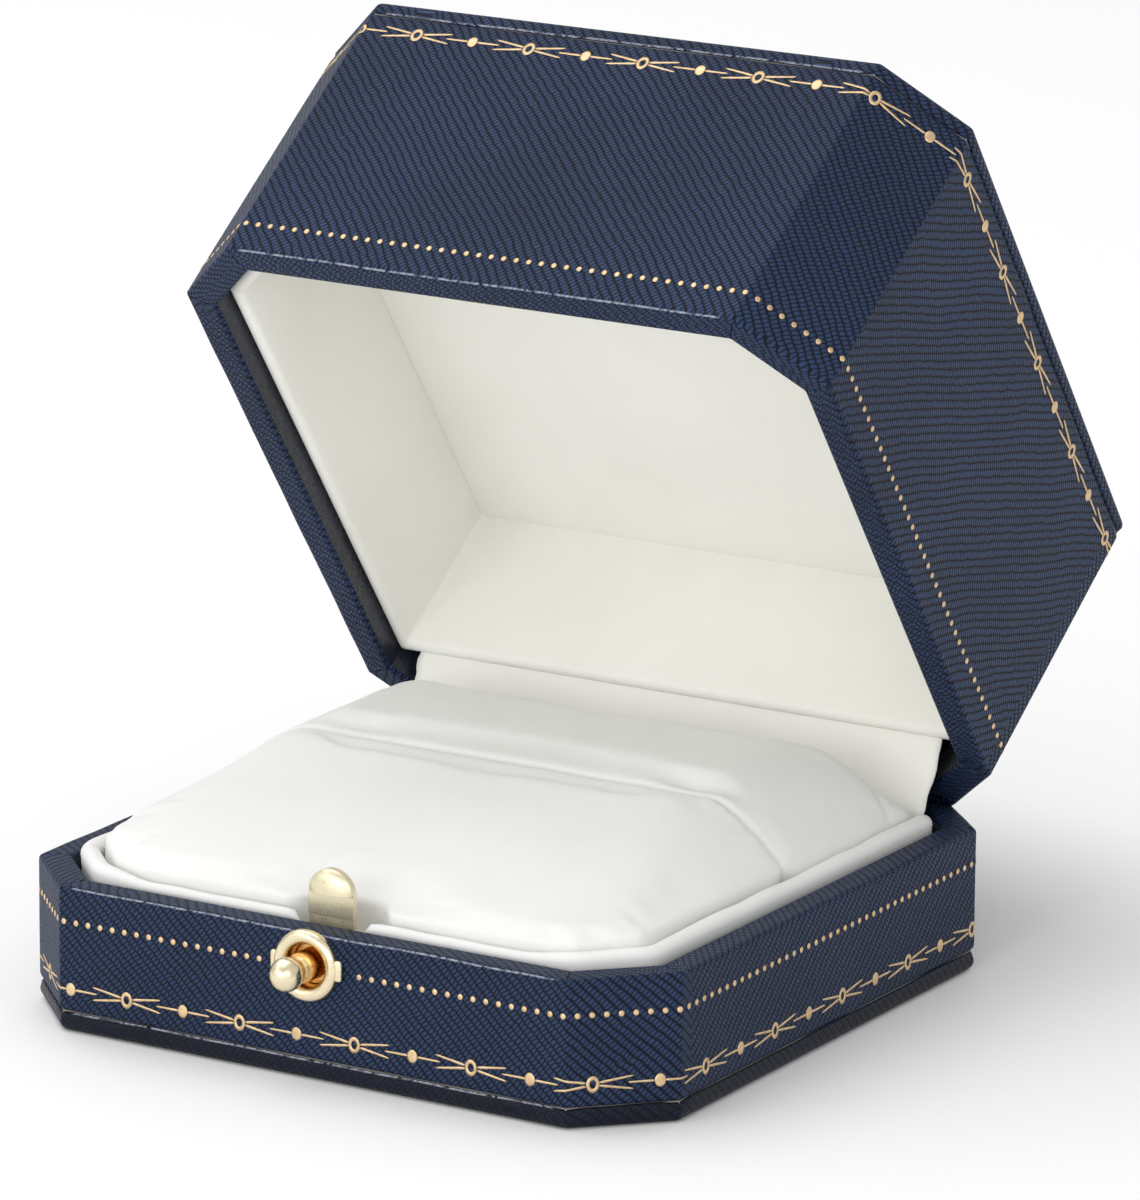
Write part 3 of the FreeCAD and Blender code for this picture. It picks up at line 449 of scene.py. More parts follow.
def smooth_leather(name, colour, shade, roughness, relief=0.012, scale=4.5):
    """Plain lining leatherette with a fine pebble and slight shading in its hollows."""
    material, tree, shader = new_material(name, Specular_IOR_Level=0.35, Sheen_Weight=0.08)
    place = object_place(tree)
    pebble = noise_value(tree, place, scale, 3.0, 0.6)
    cells = add_node(tree, "TexVoronoi", {"Vector": place, "Scale": scale * 0.7}, feature="F1")
    height = calc(tree, "MULTIPLY_ADD", cells.outputs["Distance"], 0.5, pebble)
    set_bump(tree, shader, height, relief)
    cloudy = noise_value(tree, place, 0.06, 3.0)
    tone = calc(tree, "MULTIPLY_ADD", pebble, 0.25, cloudy)
    tree.links.new(blend_colour(tree, ramp(tree, tone, 0.4, 0.8), shade, colour),
                   shader.inputs["Base Color"])
    tree.links.new(ramp(tree, pebble, 0.3, 0.7, roughness - 0.05, roughness + 0.07),
                   shader.inputs["Roughness"])
    return material


def metal(name, colour, dark, roughness, scale=2.5, metallic=1.0):
    """Polished metal with faint handling marks."""
    material, tree, shader = new_material(name, Metallic=metallic)
    place = object_place(tree)
    marks = noise_value(tree, place, scale, 4.0, 0.65)
    tree.links.new(blend_colour(tree, ramp(tree, marks, 0.3, 0.75), dark, colour),
                   shader.inputs["Base Color"])
    tree.links.new(ramp(tree, marks, 0.3, 0.7, roughness - 0.04, roughness + 0.08),
                   shader.inputs["Roughness"])
    set_bump(tree, shader, noise_value(tree, place, scale * 3, 1.0), 0.0015)
    return material


def board_material(name):
    """Grey fibre board."""
    material, tree, shader = new_material(name, Roughness=0.9, Specular_IOR_Level=0.2)
    place = object_place(tree)
    stretched = add_node(tree, "Mapping", {0: place, 3: (1.0, 5.0, 5.0)}).outputs[0]
    fibre = noise_value(tree, stretched, 1.2, 5.0, 0.7)
    tree.links.new(blend_colour(tree, fibre, (0.16, 0.15, 0.135), (0.34, 0.32, 0.29)),
                   shader.inputs["Base Color"])
    set_bump(tree, shader, fibre, 0.03)
    return material


NAVY = cross_grain_leather("navy_leatherette", (0.021, 0.042, 0.104), (0.0015, 0.003, 0.009), 0.42)
# A darker copy of the navy leatherette for the bottom board: its lower roughness is its own gloss; its
# darker colour is partly its own black and partly painted shade for the board's edge low under the wall.
NAVY_DARK_SHADED = cross_grain_leather("navy_dark_edge_painted_shade", (0.006, 0.010, 0.026), (0.002, 0.003, 0.007), 0.34, 0.06)
# Plain glossy navy for the inner turn-in below the rim: its smooth grain and gloss are its own; its
# near-black colour is partly the leather's own dark tone and partly painted shade for the shaded inside of
# the wall.
NAVY_PLAIN_SHADED = smooth_leather("navy_gloss_painted_shade", (0.014, 0.017, 0.030), (0.008, 0.010, 0.020), 0.28, 0.03, 1.6)
CREAM = smooth_leather("cream_lining", (0.87, 0.865, 0.82), (0.83, 0.82, 0.765), 0.55)
IVORY = smooth_leather("ivory_cushion", (0.78, 0.78, 0.765), (0.745, 0.745, 0.725), 0.6, 0.010, 3.6)
BRASS = metal("pale_brass", (0.87, 0.77, 0.56), (0.80, 0.68, 0.46), 0.24)
FOIL = metal("gilt_foil", (0.84, 0.65, 0.40), (0.62, 0.43, 0.24), 0.42, 1.5)
SATIN_BRASS = metal("satin_brass", (0.80, 0.73, 0.53), (0.72, 0.65, 0.45), 0.30, metallic=0.72)
# Warm orange brass used only inside the bore: a painted reflection of light bounced round the bore, not the
# metal's own colour.
BORE_REFLECTION_BRASS = metal("brass_painted_bore_reflection", (0.78, 0.46, 0.16), (0.52, 0.27, 0.08), 0.22)
STEEL = metal("spring_steel", (0.55, 0.56, 0.58), (0.40, 0.41, 0.43), 0.3)
BOARD = board_material("grey_board")


def dress_cad_nodes():
    """Gives every CAD node that stays in view its own finish."""
    finishes = {
        STEEL: ("tongue_spring", "hinge_spring_left", "hinge_spring_right", "hinge_pin",
                "latch_pivot_pin", "button_clip"),
        BRASS: ("latch_bracket", "latch_bracket_rivets", "hinge_base_leaf", "hinge_base_rivets",
                "hinge_lid_leaf", "hinge_lid_rivets", "strike_plate", "strike_rivets"),
        BOARD: ("bottom_board", "base_wall_core", "base_floor_card", "cushion_board",
                "lid_wall_core", "lid_top_board", "lid_ceiling_board", "lid_spacer_frame"),
    }
    for material, names in finishes.items():
        for name in names:
            mesh = frame["nodes"][name].data
            mesh.materials.clear()
            mesh.materials.append(material)


# Leatherette shells

def inset_of(place):
    """How far a place lies inside the outer wall face."""
    corner_reach = (2 * HALF - CHAMFER) / math.sqrt(2)
    slanted = (abs(place.x) + abs(place.y)) / math.sqrt(2)
    return min(HALF - abs(place.x), HALF - abs(place.y), corner_reach - slanted)


def edge_wobble(point, size):
    """A slight unevenness of hand-wrapped edges."""
    return noise.noise(point * 0.16) * size


def shell_rows(length, side):
    """Rows of the wall shell. length is the wall's height from the board, side is -1 for the base and
    1 for the lid, whose board is on top."""
    section = [(FOLD, 0.02, 0), (0.26, 0.08, 0), (0.09, 0.24, 0), (0.0, 0.5, 0)]
    section += [(0.0, 0.4 + (length - 0.9) * step / 5, 0) for step in range(1, 6)]
    # Levels of the light line round the outer rim edge: partly wear, partly a painted highlight on the
    # rounding.
    rim_wear_and_highlight = (0, 0.4, 1.0, 0.2, 0)
    edge_rows = range(len(section), len(section) + len(rim_wear_and_highlight))
    outer_edge = arc((FOLD, length - FOLD), FOLD, 180, 90, 4)
    section += [(x, z, worn_and_lit) for (x, z), worn_and_lit in zip(outer_edge, rim_wear_and_highlight)]
    seat = HALF - SEAT_REAR
    section += [(1.0, length, 0), (seat - 0.01, length, 0), (seat + 0.01, length, 0), (2.1, length, 0)]
    inner_edge = arc((WALL - FOLD, length - FOLD), FOLD, 90, 0, 4)
    section += [(x, z, 0) for x, z in inner_edge]
    section += [(WALL, length - 3.5, 0), (WALL, length - TURN_IN, 0), (WALL - LEATHER, length - TURN_IN, 0)]
    section += [(inset, length - UNDER_RIM, 0)
                for inset in (WALL - LEATHER, seat + 0.01, seat - 0.01, LEATHER)]
    rows, wear_and_highlight = [], []
    for place, (inset, height, worn_and_lit) in enumerate(section):
        row = []
        on_rim = height > length - 0.2 and 0.3 < inset < 2.8
        for point, part, corner in wall_ring(inset):
            z = height
            if on_rim and corner:
                z -= 0.13
            spot = Vector((*point, height))
            if place in edge_rows:
                z += edge_wobble(spot, 0.10)
            if inset == 0.0:
                out = Vector((point.x, point.y)).normalized() * edge_wobble(spot * 0.5, 0.05)
                point = point + out
            z = BOARD_TOP + z if side < 0 else LID_WALL_TOP - z
            z = limit_rear(point, z, side)
            row.append((Vector((point.x, point.y, z)), part, corner))
        rows.append(row if side < 0 else row[::-1])
        wear_and_highlight.append(worn_and_lit)
    return rows, wear_and_highlight


def limit_rear(point, z, side):
    """Keeps a rim point out of the rear bevel and out of the seat of the hinge."""
    if point.y > BEVEL_FROM - 0.01:
        slope = (point.y - AXIS_Y) * BEVEL_SLOPE
        z = min(z, AXIS_Z - slope) if side < 0 else max(z, AXIS_Z + slope)
    if abs(point.x) < SEAT_HALF - 0.05 and SEAT_FRONT < point.y < SEAT_REAR:
        z = min(z, AXIS_Z - SEAT_DEEP) if side < 0 else max(z, AXIS_Z + SEAT_DEEP)
    return z


def wall_shell(side):
    length = (RIM - BOARD_TOP) if side < 0 else (LID_WALL_TOP - LID_RIM)
    rows, wear_and_highlight = shell_rows(length, side)
    bm = sweep(rows, wear_and_highlight=wear_and_highlight, mirrored=(2, 6))
    for face in bm.faces:
        middle = face.calc_center_median()
        below = RIM - middle.z if side < 0 else middle.z - LID_RIM
        # Inner turn-in faces below the rim get the near-black plain leatherette, partly painted shade for
        # the shaded inside of the wall.
        if below > 0.5 and inset_of(middle) > WALL - 0.1:
            face.material_index = 1
    name, body = ("base_wall_leather", "base") if side < 0 else ("lid_wall_leather", "lid")
    piece = new_object(name, bm, NAVY, body, lid=side > 0)
    piece.data.materials.append(NAVY_PLAIN_SHADED)
    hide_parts("base_wall_cover" if side < 0 else "lid_wall_cover")
    if side < 0:
        drill_button_hole(piece)
    sharpen(piece, 50)


def drill_button_hole(piece):
    bm = bmesh.new()
    turn = Matrix.Translation((0, -HALF + 1.5, BUTTON_Z)) @ Matrix.Rotation(math.pi / 2, 4, "X")
    bmesh.ops.create_cone(bm, cap_ends=True, segments=64, radius1=BUTTON_HOLE, radius2=BUTTON_HOLE,
                          depth=6, matrix=turn)
    cut(piece, bm, "button_drill")


def board_cover(side):
    """The leatherette over the bottom or top board, with its small open folds at the corners."""
    thick = BOARD_TOP if side < 0 else TOP_BOARD
    section = [(3.0, 0.0, 0), (1.0, 0.0, 0)]
    section += [(x, z, 0) for x, z in arc((0.95, 0.95), 0.95, 270, 180, 5)[1:]]
    lip_rows = range(len(section), len(section) + 4)
    # The lip at the board's edge gets the same light line: partly wear, partly a painted highlight.
    section += [(0.0, thick - 0.3, 0), (0.02, thick - 0.14, 0.7), (0.10, thick - 0.04, 1.0)]
    section += [(0.27, thick - 0.02, 0.0), (0.29, thick - 0.1, 0), (0.29, 1.0, 0), (1.0, 0.29, 0),
                (3.0, 0.29, 0)]
    rows, wear_and_highlight = [], []
    for index, (inset, height, worn_and_lit) in enumerate(section):
        row = []
        for point, part, corner in wall_ring(inset):
            z = height
            if index in lip_rows:
                z += edge_wobble(Vector((*point, 7.0)), 0.10)
                if part % 1:
                    z -= 0.2
                    point = point * (1 - 0.1 / HALF)
            if side > 0:
                z = LID_WALL_TOP + TOP_BOARD - z
            row.append((Vector((point.x, point.y, z)), part, corner))
        rows.append(row if side < 0 else row[::-1])
        wear_and_highlight.append(worn_and_lit)
    bm = sweep(rows, closed_profile=False, cap_first=True, cap_last=True, wear_and_highlight=wear_and_highlight)
    bmesh.ops.recalc_face_normals(bm, faces=bm.faces)
    name, body = ("bottom_leather", "base") if side < 0 else ("lid_top_leather", "lid")
    # The bottom board gets the darker copy, partly painted shade; the top board keeps the plain navy.
    material = NAVY_DARK_SHADED if side < 0 else NAVY
    piece = new_object(name, bm, material, body, lid=side > 0)
    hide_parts("bottom_cover" if side < 0 else "lid_top_cover")
    sharpen(piece, 50)


# Gilt tooling

def foil_stroke(bm, start, end, width):
    """A tapering stroke cut into short pieces, so that it follows a corner."""
    (s0, z0), (s1, z1) = start, end
    length = math.hypot(s1 - s0, z1 - z0)
    across = Vector((-(z1 - z0), s1 - s0)) / length
    count = max(2, math.ceil(length / 0.22))
    pairs = []
    for step in range(count + 1):
        share = step / count
        half = width / 2 * (1 - 0.35 * share) * min(1.0, 0.45 + 6 * min(share, 1 - share))
        s, z = s0 + (s1 - s0) * share, z0 + (z1 - z0) * share
        pairs.append([
            bm.verts.new(on_wall(s + sign * across.x * half, z + sign * across.y * half, FOIL_LIFT))
            for sign in (1, -1)
        ])
    for (a, b), (c, d) in zip(pairs, pairs[1:]):
        bm.faces.new((a, b, d, c))


def foil_disc(bm, s, z, size, hole=0.0, dome=0.03):
    """A dot of foil, or a ring of it when hole is the share of the middle that stays open."""
    count = 16
    half_width, half_height = size
    levels = ((1.0, FOIL_LIFT), (hole, FOIL_LIFT)) if hole else ((1.0, 0.02), (0.72, 0.02 + dome))
    rims = []
    for share, lift in levels:
        rims.append([
            bm.verts.new(on_wall(
                s + half_width * share * math.cos(2 * math.pi * step / count),
                z + half_height * share * math.sin(2 * math.pi * step / count), lift,
            ))
            for step in range(count)
        ])
    bridge(bm, *rims)
    if not hole:
        bm.faces.new(rims[1])


def dotted_line(bm, height, gap_centre, gap_half):
    """Dots at even steps. None is set nearer than gap_half to gap_centre."""
    total = OUTER_LENGTHS[-1]
    count = round(total / DOT_PITCH)
    for index in range(count):
        s = total * (index + 0.35) / count
        if abs(s - gap_centre) > gap_half:
            foil_disc(bm, s, height, DOT_SIZE, dome=0.06)


def chain_line(bm, height, first_ring):
    """Rings with four strokes each, and dots on thin lines between them."""
    total = OUTER_LENGTHS[-1]
    count = round(total / CHAIN_PITCH)
    period = total / count
    for index in range(count):
        s = first_ring + period * index
        foil_disc(bm, s, height, RING_SIZE, hole=0.5)
        for way in (-1, 1):
            for tilt in (-1, 1):
                start = (s + way * RING_SIZE[0], height + tilt * 0.14)
                foil_stroke(bm, start, (s + way * 3.75, height + tilt * 0.62), 0.26)
        dot = s + period / 2
        foil_disc(bm, dot, height, BEAD_SIZE)
        for way in (-1, 1):
            foil_stroke(bm, (dot + way * 0.5, height), (dot + way * 2.95, height), 0.24)


def foil(side):
    bm = bmesh.new()
    flat = 2 * (HALF - CHAMFER)
    if side < 0:
        dotted_line(bm, RIM - DOTS_FROM_RIM, flat / 2, LATCH_GAP)
        chain_line(bm, BOARD_TOP + CHAIN_FROM_BOARD, 7.4)
        name, body = "gilt_line_base", "base"
    else:
        dotted_line(bm, LID_RIM + DOTS_FROM_RIM, 0, -1)
        chain_line(bm, LID_WALL_TOP - CHAIN_FROM_BOARD, 6.1)
        name, body = "gilt_line_lid", "lid"
    bmesh.ops.recalc_face_normals(bm, faces=bm.faces)
    piece = new_object(name, bm, FOIL, body, lid=side > 0)
    thicken(piece, FOIL_THICK, -1)


# Padded linings

def lining_ring(depth, inset):
    """Outline of the lid lining; depth is how far inside its outer face it lies."""
    corners = cup_corners(inset, LINING_REAR - depth)
    return rounded_ring(corners, 0.45, counts=LINING_COUNTS)


def lid_lining():
    section = [(0.0, CEILING - 0.02), (0.0, CEILING - 8), (0.0, LINING_LOW + 0.8)]
    section += arc((LINING_ROLL, LINING_LOW + LINING_ROLL), LINING_ROLL, 180, 360, 6)[1:]
    height = CEILING - LINING_LOW - 0.8
    for step in range(1, 9):
        share = step / 8
        puff = 0.22 * math.sin(math.pi * min(1.0, share * 1.15)) if share < 0.87 else 0.0
        short = 0.02 if step == 8 else 0
        section.append((2 * LINING_ROLL + max(0.0, puff), LINING_LOW + 0.8 + height * share - short))
    rows = []
    for depth, z in section:
        row = []
        for point, part, corner in lining_ring(depth, WALL + 0.03 + depth):
            spot = Vector((*point, z))
            shift = noise.noise(spot * 0.11) * 0.12 if depth > 1.2 else 0.0
            inward = -Vector((point.x, point.y)).normalized()
            point = point + inward * max(0.0, shift)
            row.append((Vector((point.x, point.y, z)), part, corner))
        rows.append(row)
    bm = sweep(rows)
    bmesh.ops.recalc_face_normals(bm, faces=bm.faces)
    piece = new_object("lid_lining_padded", bm, CREAM, "lid", lid=True)
    strike_relief = rounded_block(
        (-4.4, -HALF, LINING_LOW - 1), (4.4, -HALF + WALL + 2.2, LID_RIM + 7.9), 0.4
    )
    cut(piece, strike_relief, "relief_tool", lid=True)
    sharpen(piece, 50)
    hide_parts("lid_lining")


def rounded_block(low, high, radius, segments=3):
    bm = bmesh.new()
    bmesh.ops.create_cube(bm, size=1)
    low, high = Vector(low), Vector(high)
    for vert in bm.verts:
        vert.co = Vector([low[i] + (vert.co[i] + 0.5) * (high[i] - low[i]) for i in range(3)])
    bmesh.ops.bevel(bm, geom=bm.edges[:], offset=radius, segments=segments, affect="EDGES", profile=0.5)
    return bm


def lid_ceiling():
    """The padded ceiling, crowned towards the room and pulled in where it meets the walls."""
    section = [(12.0, -0.42), (10.0, -0.40), (7.0, -0.30), (5.4, -0.16), (4.75, -0.04), (4.4, 0.03),
               (3.4, 0.03), (CEILING_EDGE, 0.2), (CEILING_EDGE, 2.95), (12.0, 2.98)]
    rows = []
    for inset, rise in section:
        corners = cup_corners(inset, CEILING_REAR - (inset - CEILING_EDGE))
        ring = rounded_ring(corners, 0.4, counts=CEILING_COUNTS)
        rows.append([(Vector((point.x, point.y, CEILING + rise)), part, corner)
                     for point, part, corner in ring])
    bm = sweep(rows, closed_profile=False, cap_first=True, cap_last=True)
    bmesh.ops.recalc_face_normals(bm, faces=bm.faces)
    piece = new_object("lid_ceiling_padded", bm, CREAM, "lid", lid=True)
    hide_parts("lid_ceiling_pad")
    sharpen(piece, 60)


def collar_path():
    """Middle line of the right half of the collar, from beside the latch to its rear end."""
    corners = [Vector(place) for place in octagon_corners(4.4)[1:4]]
    start = Vector((3.3, corners[0].y))
    end = Vector((corners[1].x, 26.0))
    stops = [start, corners[0], corners[1], end]
    points = [start]
    for index in (1, 2):
        corner = stops[index]
        before = (corner - stops[index - 1]).normalized()
        after = (stops[index + 1] - corner).normalized()
        first, last = corner - before * 1.3, corner + after * 1.3
        run = (first - points[-1]).length
        steps = max(1, round(run / 0.9))
        points += [points[-1].lerp(first, step / steps) for step in range(1, steps + 1)]
        for step in range(1, 6):
            share = step / 6
            points.append(first.lerp(corner, share).lerp(corner.lerp(last, share), share))
        points.append(last)
    run = (end - points[-1]).length
    steps = round(run / 0.9)
    base = points[-1]
    points += [base.lerp(end, step / steps) for step in range(1, steps + 1)]
    return points


def front_share(x, y):
    """1 along the front between the chamfers, where the collar is thin, falling to 0 at the chamfers."""
    return smooth((26.0 - abs(x)) / 6.0) if y < -24.0 else 0.0


def collar():
    """A soft roll beside the rim, in two halves that end at the latch and behind the cushion."""
    path = collar_path()
    total = sum((b - a).length for a, b in zip(path, path[1:]))
    low, top = FLOOR_CARD_TOP + 0.3, RIM + COLLAR_RISE
    bm = bmesh.new()
    for mirror in (1, -1):
        walked = 0.0
        rings = []
        for index, point in enumerate(path):
            if index:
                walked += (point - path[index - 1]).length
            ahead = path[min(index + 1, len(path) - 1)]
            behind = path[max(index - 1, 0)]
            way = (ahead - behind).normalized()
            out = Vector((way.y, -way.x))
            to_end = min(walked, total - walked)
            end_share = math.sqrt(max(0.0, 1 - max(0.0, 1 - to_end / 1.5) ** 2))
            lump = noise.noise(Vector((point.x * mirror, point.y, 3.0)) * 0.22)
            front = front_share(point.x, point.y)
            crown = top - 0.75 * front + 0.16 * lump - 1.3 * (1 - max(0.02, end_share))
            half = (0.92 - 0.33 * front + 0.04 * lump) * max(0.12, end_share)
            point = point + out * 0.36 * front
            profile = [(-half * 0.8, low), (-half * 0.86, crown - 3.0)]
            profile += [(-half * math.cos(math.radians(angle)),
                         crown - half + half * math.sin(math.radians(angle)))
                        for angle in range(-20, 201, 20)]
            profile += [(half * 0.86, crown - 3.0), (half * 0.8, low)]
            rings.append([
                bm.verts.new(((point.x + out.x * side) * mirror, point.y + out.y * side, z))
                for side, z in profile
            ])
        for ring, following in zip(rings, rings[1:]):
            bridge(bm, ring, following)
        bm.faces.new(rings[0])
        bm.faces.new(rings[-1][::-1])
    bmesh.ops.recalc_face_normals(bm, faces=bm.faces)
    piece = new_object("collar_roll", bm, IVORY, "base")
    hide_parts("collar_liner")


# Cushion

CROWN_LINE = ((-29.6, CROWN - 6.3), (-15.0, CROWN - 2.9), (0.2, CROWN + 0.1), (20.4, CROWN + 0.1),
              (22.4, CROWN - 1.3), (23.6, CROWN - 3.7), (24.3, CROWN - 5.8), (25.4, CROWN - 6.6))


def crown_height(y):
    """Height along the middle of the cushion."""
    for (y0, z0), (y1, z1) in zip(CROWN_LINE, CROWN_LINE[1:]):
        if y <= y1:
            return z0 + (z1 - z0) * max(0.0, (y - y0) / (y1 - y0))
    return CROWN_LINE[-1][1]


def cushion_top(x, y):
    """Height of the cushion's cover at a place in plan."""
    middle = crown_height(y)
    knee = 21.3 + min(0.0, y - 1) * 0.17
    edge = HALF - 5.2
    low = min(CROWN - 5.9, middle) if x > 0 else min(CROWN - 4.2, middle - 0.2)
    if abs(x) > knee:
        share = min(1.0, (abs(x) - knee) / (edge - knee))
        power = 1.45 if x > 0 else 2.8
        middle = low + (middle - low) * (1 - share ** power)
    latch = smooth(1 - (math.hypot(x, (y + 29.4) * 1.2) - 2.5) / 5.0)
    return middle - 0.5 * latch


def front_edge(x):
    """Where the front pad starts, pressed back round the latch."""
    return -(HALF - PAD_INSET) - 0.6 * front_share(x, -30) + 2.8 * smooth(1 - (abs(x) - 2.9) / 2.6)


def pad_outline(front):
    """Plan of a pad before it swells."""
    edge = HALF - PAD_INSET
    if not front:
        return [(-edge, SLOT_Y + 0.1), (edge, SLOT_Y + 0.1), (edge, 25.2), (-edge, 25.2)]
    corners = cup_corners(PAD_INSET, SLOT_Y - 0.1)
    spots = (3.1, 3.8, 4.6, 5.4, 6.2, 7, 14, 20, 21.5, 23, 24.5)
    latch = [(x, front_edge(x)) for x in (*(-spot for spot in spots[::-1]), *spots)]
    return [corners[0], *latch, *corners[1:]]


def pad_blank(front):
    """Closed pad on a fine grid, with its top on the cover's height less the swelling to come."""
    bm = bmesh.new()
    bm.faces.new([bm.verts.new((x, y, 0)) for x, y in pad_outline(front)])
    for axis, low, high in ((0, -29, 29), (1, -30, 25)):
        normal = Vector((1, 0, 0)) if axis == 0 else Vector((0, 1, 0))
        for level in range(low, high + 1):
            geometry = bm.verts[:] + bm.edges[:] + bm.faces[:]
            bmesh.ops.bisect_plane(bm, geom=geometry, plane_co=normal * level, plane_no=normal)
    top_faces = bm.faces[:]
    extruded = bmesh.ops.extrude_face_region(bm, geom=top_faces)
    lower = {item for item in extruded["geom"] if isinstance(item, bmesh.types.BMVert)}
    for vert in bm.verts:
        vert.co.z = PAD_FOOT + 0.05 if vert in lower else cushion_top(vert.co.x, vert.co.y) - 0.15
    bmesh.ops.recalc_face_normals(bm, faces=bm.faces)
    return bm


def swell(piece, scale=10.0, voxel=0.7, frames=14, most=0.5):
    """Remeshes the pad, lets cloth under pressure swell it, and caps how far each point goes."""
    mesh = piece.data
    mesh.transform(Matrix.Scale(scale, 4))
    remesh = piece.modifiers.new("remesh", "REMESH")
    remesh.mode = "VOXEL"
    remesh.voxel_size = voxel * MM * scale
    apply_modifiers(piece)
    mesh = piece.data
    before = [vert.co.copy() for vert in mesh.vertices]
    foot = min(place.z for place in before)
    held = piece.vertex_groups.new(name="held")
    for vert in mesh.vertices:
        height = (vert.co.z - foot) / (MM * scale)
        held.add([vert.index], 1.0 if height < 1.0 else 0.0, "REPLACE")
    cloth = piece.modifiers.new("cloth", "CLOTH")
    settings = cloth.settings
    settings.use_pressure = True
    settings.uniform_pressure_force = 4.0
    settings.vertex_group_mass = "held"
    settings.effector_weights.gravity = 0
    settings.quality = 5
    settings.tension_stiffness = 15
    settings.compression_stiffness = 15
    settings.bending_stiffness = 0.5
    cloth.point_cache.frame_start = 1
    cloth.point_cache.frame_end = frames
    scene = bpy.context.scene
    for step in range(1, frames + 1):
        scene.frame_set(step)
    graph = bpy.context.evaluated_depsgraph_get()
    swollen = [vert.co.copy() for vert in piece.evaluated_get(graph).data.vertices]
    piece.modifiers.clear()
    scene.frame_set(1)
    cap = most * MM * scale
    for vert, start, end in zip(mesh.vertices, before, swollen):
        move = end - start
        if move.length > cap:
            move *= cap / move.length
        vert.co = start + move
    mesh.transform(Matrix.Scale(1 / scale, 4))
    piece.vertex_groups.clear()


def finish_pad(piece, front):
    """Smooths the pad, works in its tucks and the dimples beside the slot, and keeps it in its room."""
    soften = piece.modifiers.new("soften", "SMOOTH")
    soften.factor = 0.5
    soften.iterations = 2
    finer = piece.modifiers.new("finer", "SUBSURF")
    finer.levels = 1
    apply_modifiers(piece)
    for polygon in piece.data.polygons:
        polygon.use_smooth = True
    for vert in piece.data.vertices:
        place = vert.co / MM
        if place.z < PAD_FOOT + 3:
            continue
        sink = 0.0
        if front:
            tuck = smooth(1 - abs(place.x + 24.6 - (place.y + 26.5) * 0.5) / 1.1)
            sink += 0.35 * tuck * smooth(1 - abs(place.y + 26.5) / 3.5)
        else:
            for dimple_x, depth in ((18.5, 0.75), (-18.5, 0.35)):
                reach = math.hypot((place.x - dimple_x) / 6.0, (place.y - 3.6) / 2.6)
                sink += depth * smooth(1 - reach)
            tuck = smooth(1 - abs(place.y - 21.6 + (place.x - 27.4) * 0.6) / 0.9)
            sink += 0.4 * tuck * smooth(1 - abs(place.x - 27.8) / 2.4)
        ripple = noise.noise(place * 0.14) * 0.10 + noise.noise(place * 0.45) * 0.03
        vert.co.z += (ripple - sink) * MM
    for vert in piece.data.vertices:
        place = vert.co / MM
        over = PAD_INSET - 0.05 - 0.62 * front_share(place.x, place.y) - inset_of(place)
        if over > 0 and abs(place.x) > abs(place.y):
            vert.co.x -= math.copysign(over, place.x) * MM
        elif over > 0 and place.y < 0:
            vert.co.y += over * MM
        if front:
            vert.co.y = min(vert.co.y, (SLOT_Y - 0.02) * MM)
        else:
            vert.co.y = max(vert.co.y, (SLOT_Y + 0.02) * MM)
            if place.z > LINING_LOW - 0.5:
                vert.co.y = min(vert.co.y, PAD_REAR_TOP * MM)


def cushion_pads():
    for front in (True, False):
        name = "cushion_front_cover" if front else "cushion_rear_cover"
        piece = new_object(name, pad_blank(front), IVORY, None)
        swell(piece)
        finish_pad(piece, front)
        sharpen(piece, 62)
        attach(piece, "base")
        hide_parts("cushion_front_pad" if front else "cushion_rear_pad")


# Strips across the joint

def curve_through(stops, count):
    """Points at even steps along a smooth curve through the stops."""
    padded = [stops[0] * 2 - stops[1], *stops, stops[-1] * 2 - stops[-2]]
    dense = []
    for index in range(1, len(padded) - 2):
        a, b, c, d = padded[index - 1:index + 3]
        for step in range(12):
            t = step / 12
            dense.append(0.5 * (2 * b + (c - a) * t + (2 * a - 5 * b + 4 * c - d) * t * t
                                + (3 * b - a - 3 * c + d) * t ** 3))
    dense.append(stops[-1])
    walked = [0.0]
    for start, end in zip(dense, dense[1:]):
        walked.append(walked[-1] + (end - start).length)
    found = []
    for step in range(count + 1):
        goal = walked[-1] * step / count
        index = max(i for i in range(len(dense) - 1) if walked[i] <= goal + 1e-9)
        share = (goal - walked[index]) / max(1e-9, walked[index + 1] - walked[index])
        found.append(dense[index].lerp(dense[index + 1], share))
    return found, walked[-1]


def open_place(y, z):
    """Where a place of the closed lid lies when the lid is open."""
    return opened() @ Vector((0, y * MM, z * MM)) / MM


def cloth_strip(name, stops, half, thickness, material, wave, columns=72, rows=22):
    """A strip of cloth across the joint. wave is how uneven its surface and its cut ends are."""
    line, length = curve_through(stops, rows)
    bm = bmesh.new()
    layer = bm.loops.layers.uv.new("grain")
    grid = []
    for j, place in enumerate(line):
        way = (line[min(j + 1, rows)] - line[max(j - 1, 0)]).normalized()
        normal = Vector((0, -way.z, way.y))
        middle = math.sin(math.pi * j / rows)
        row = []
        for i in range(columns + 1):
            across = 2 * i / columns - 1
            end = half + wave * 1.6 * noise.noise(Vector((across * 9, j * 0.35, 1.0))) * abs(across) ** 8
            x = across * end
            lift = wave * middle * noise.noise(Vector((x * 0.17, j * 0.22, 5.0)))
            row.append(bm.verts.new(Vector((x, 0, 0)) + place + normal * lift))
        grid.append(row)
    for j in range(rows):
        for i in range(columns):
            face = bm.faces.new((grid[j][i], grid[j][i + 1], grid[j + 1][i + 1], grid[j + 1][i]))
            for loop in face.loops:
                loop[layer].uv = (loop.vert.co.x, loop.vert.co.z * 1.2)
    piece = new_object(name, bm, material, None)
    thicken(piece, thickness, 0)
    return piece, length


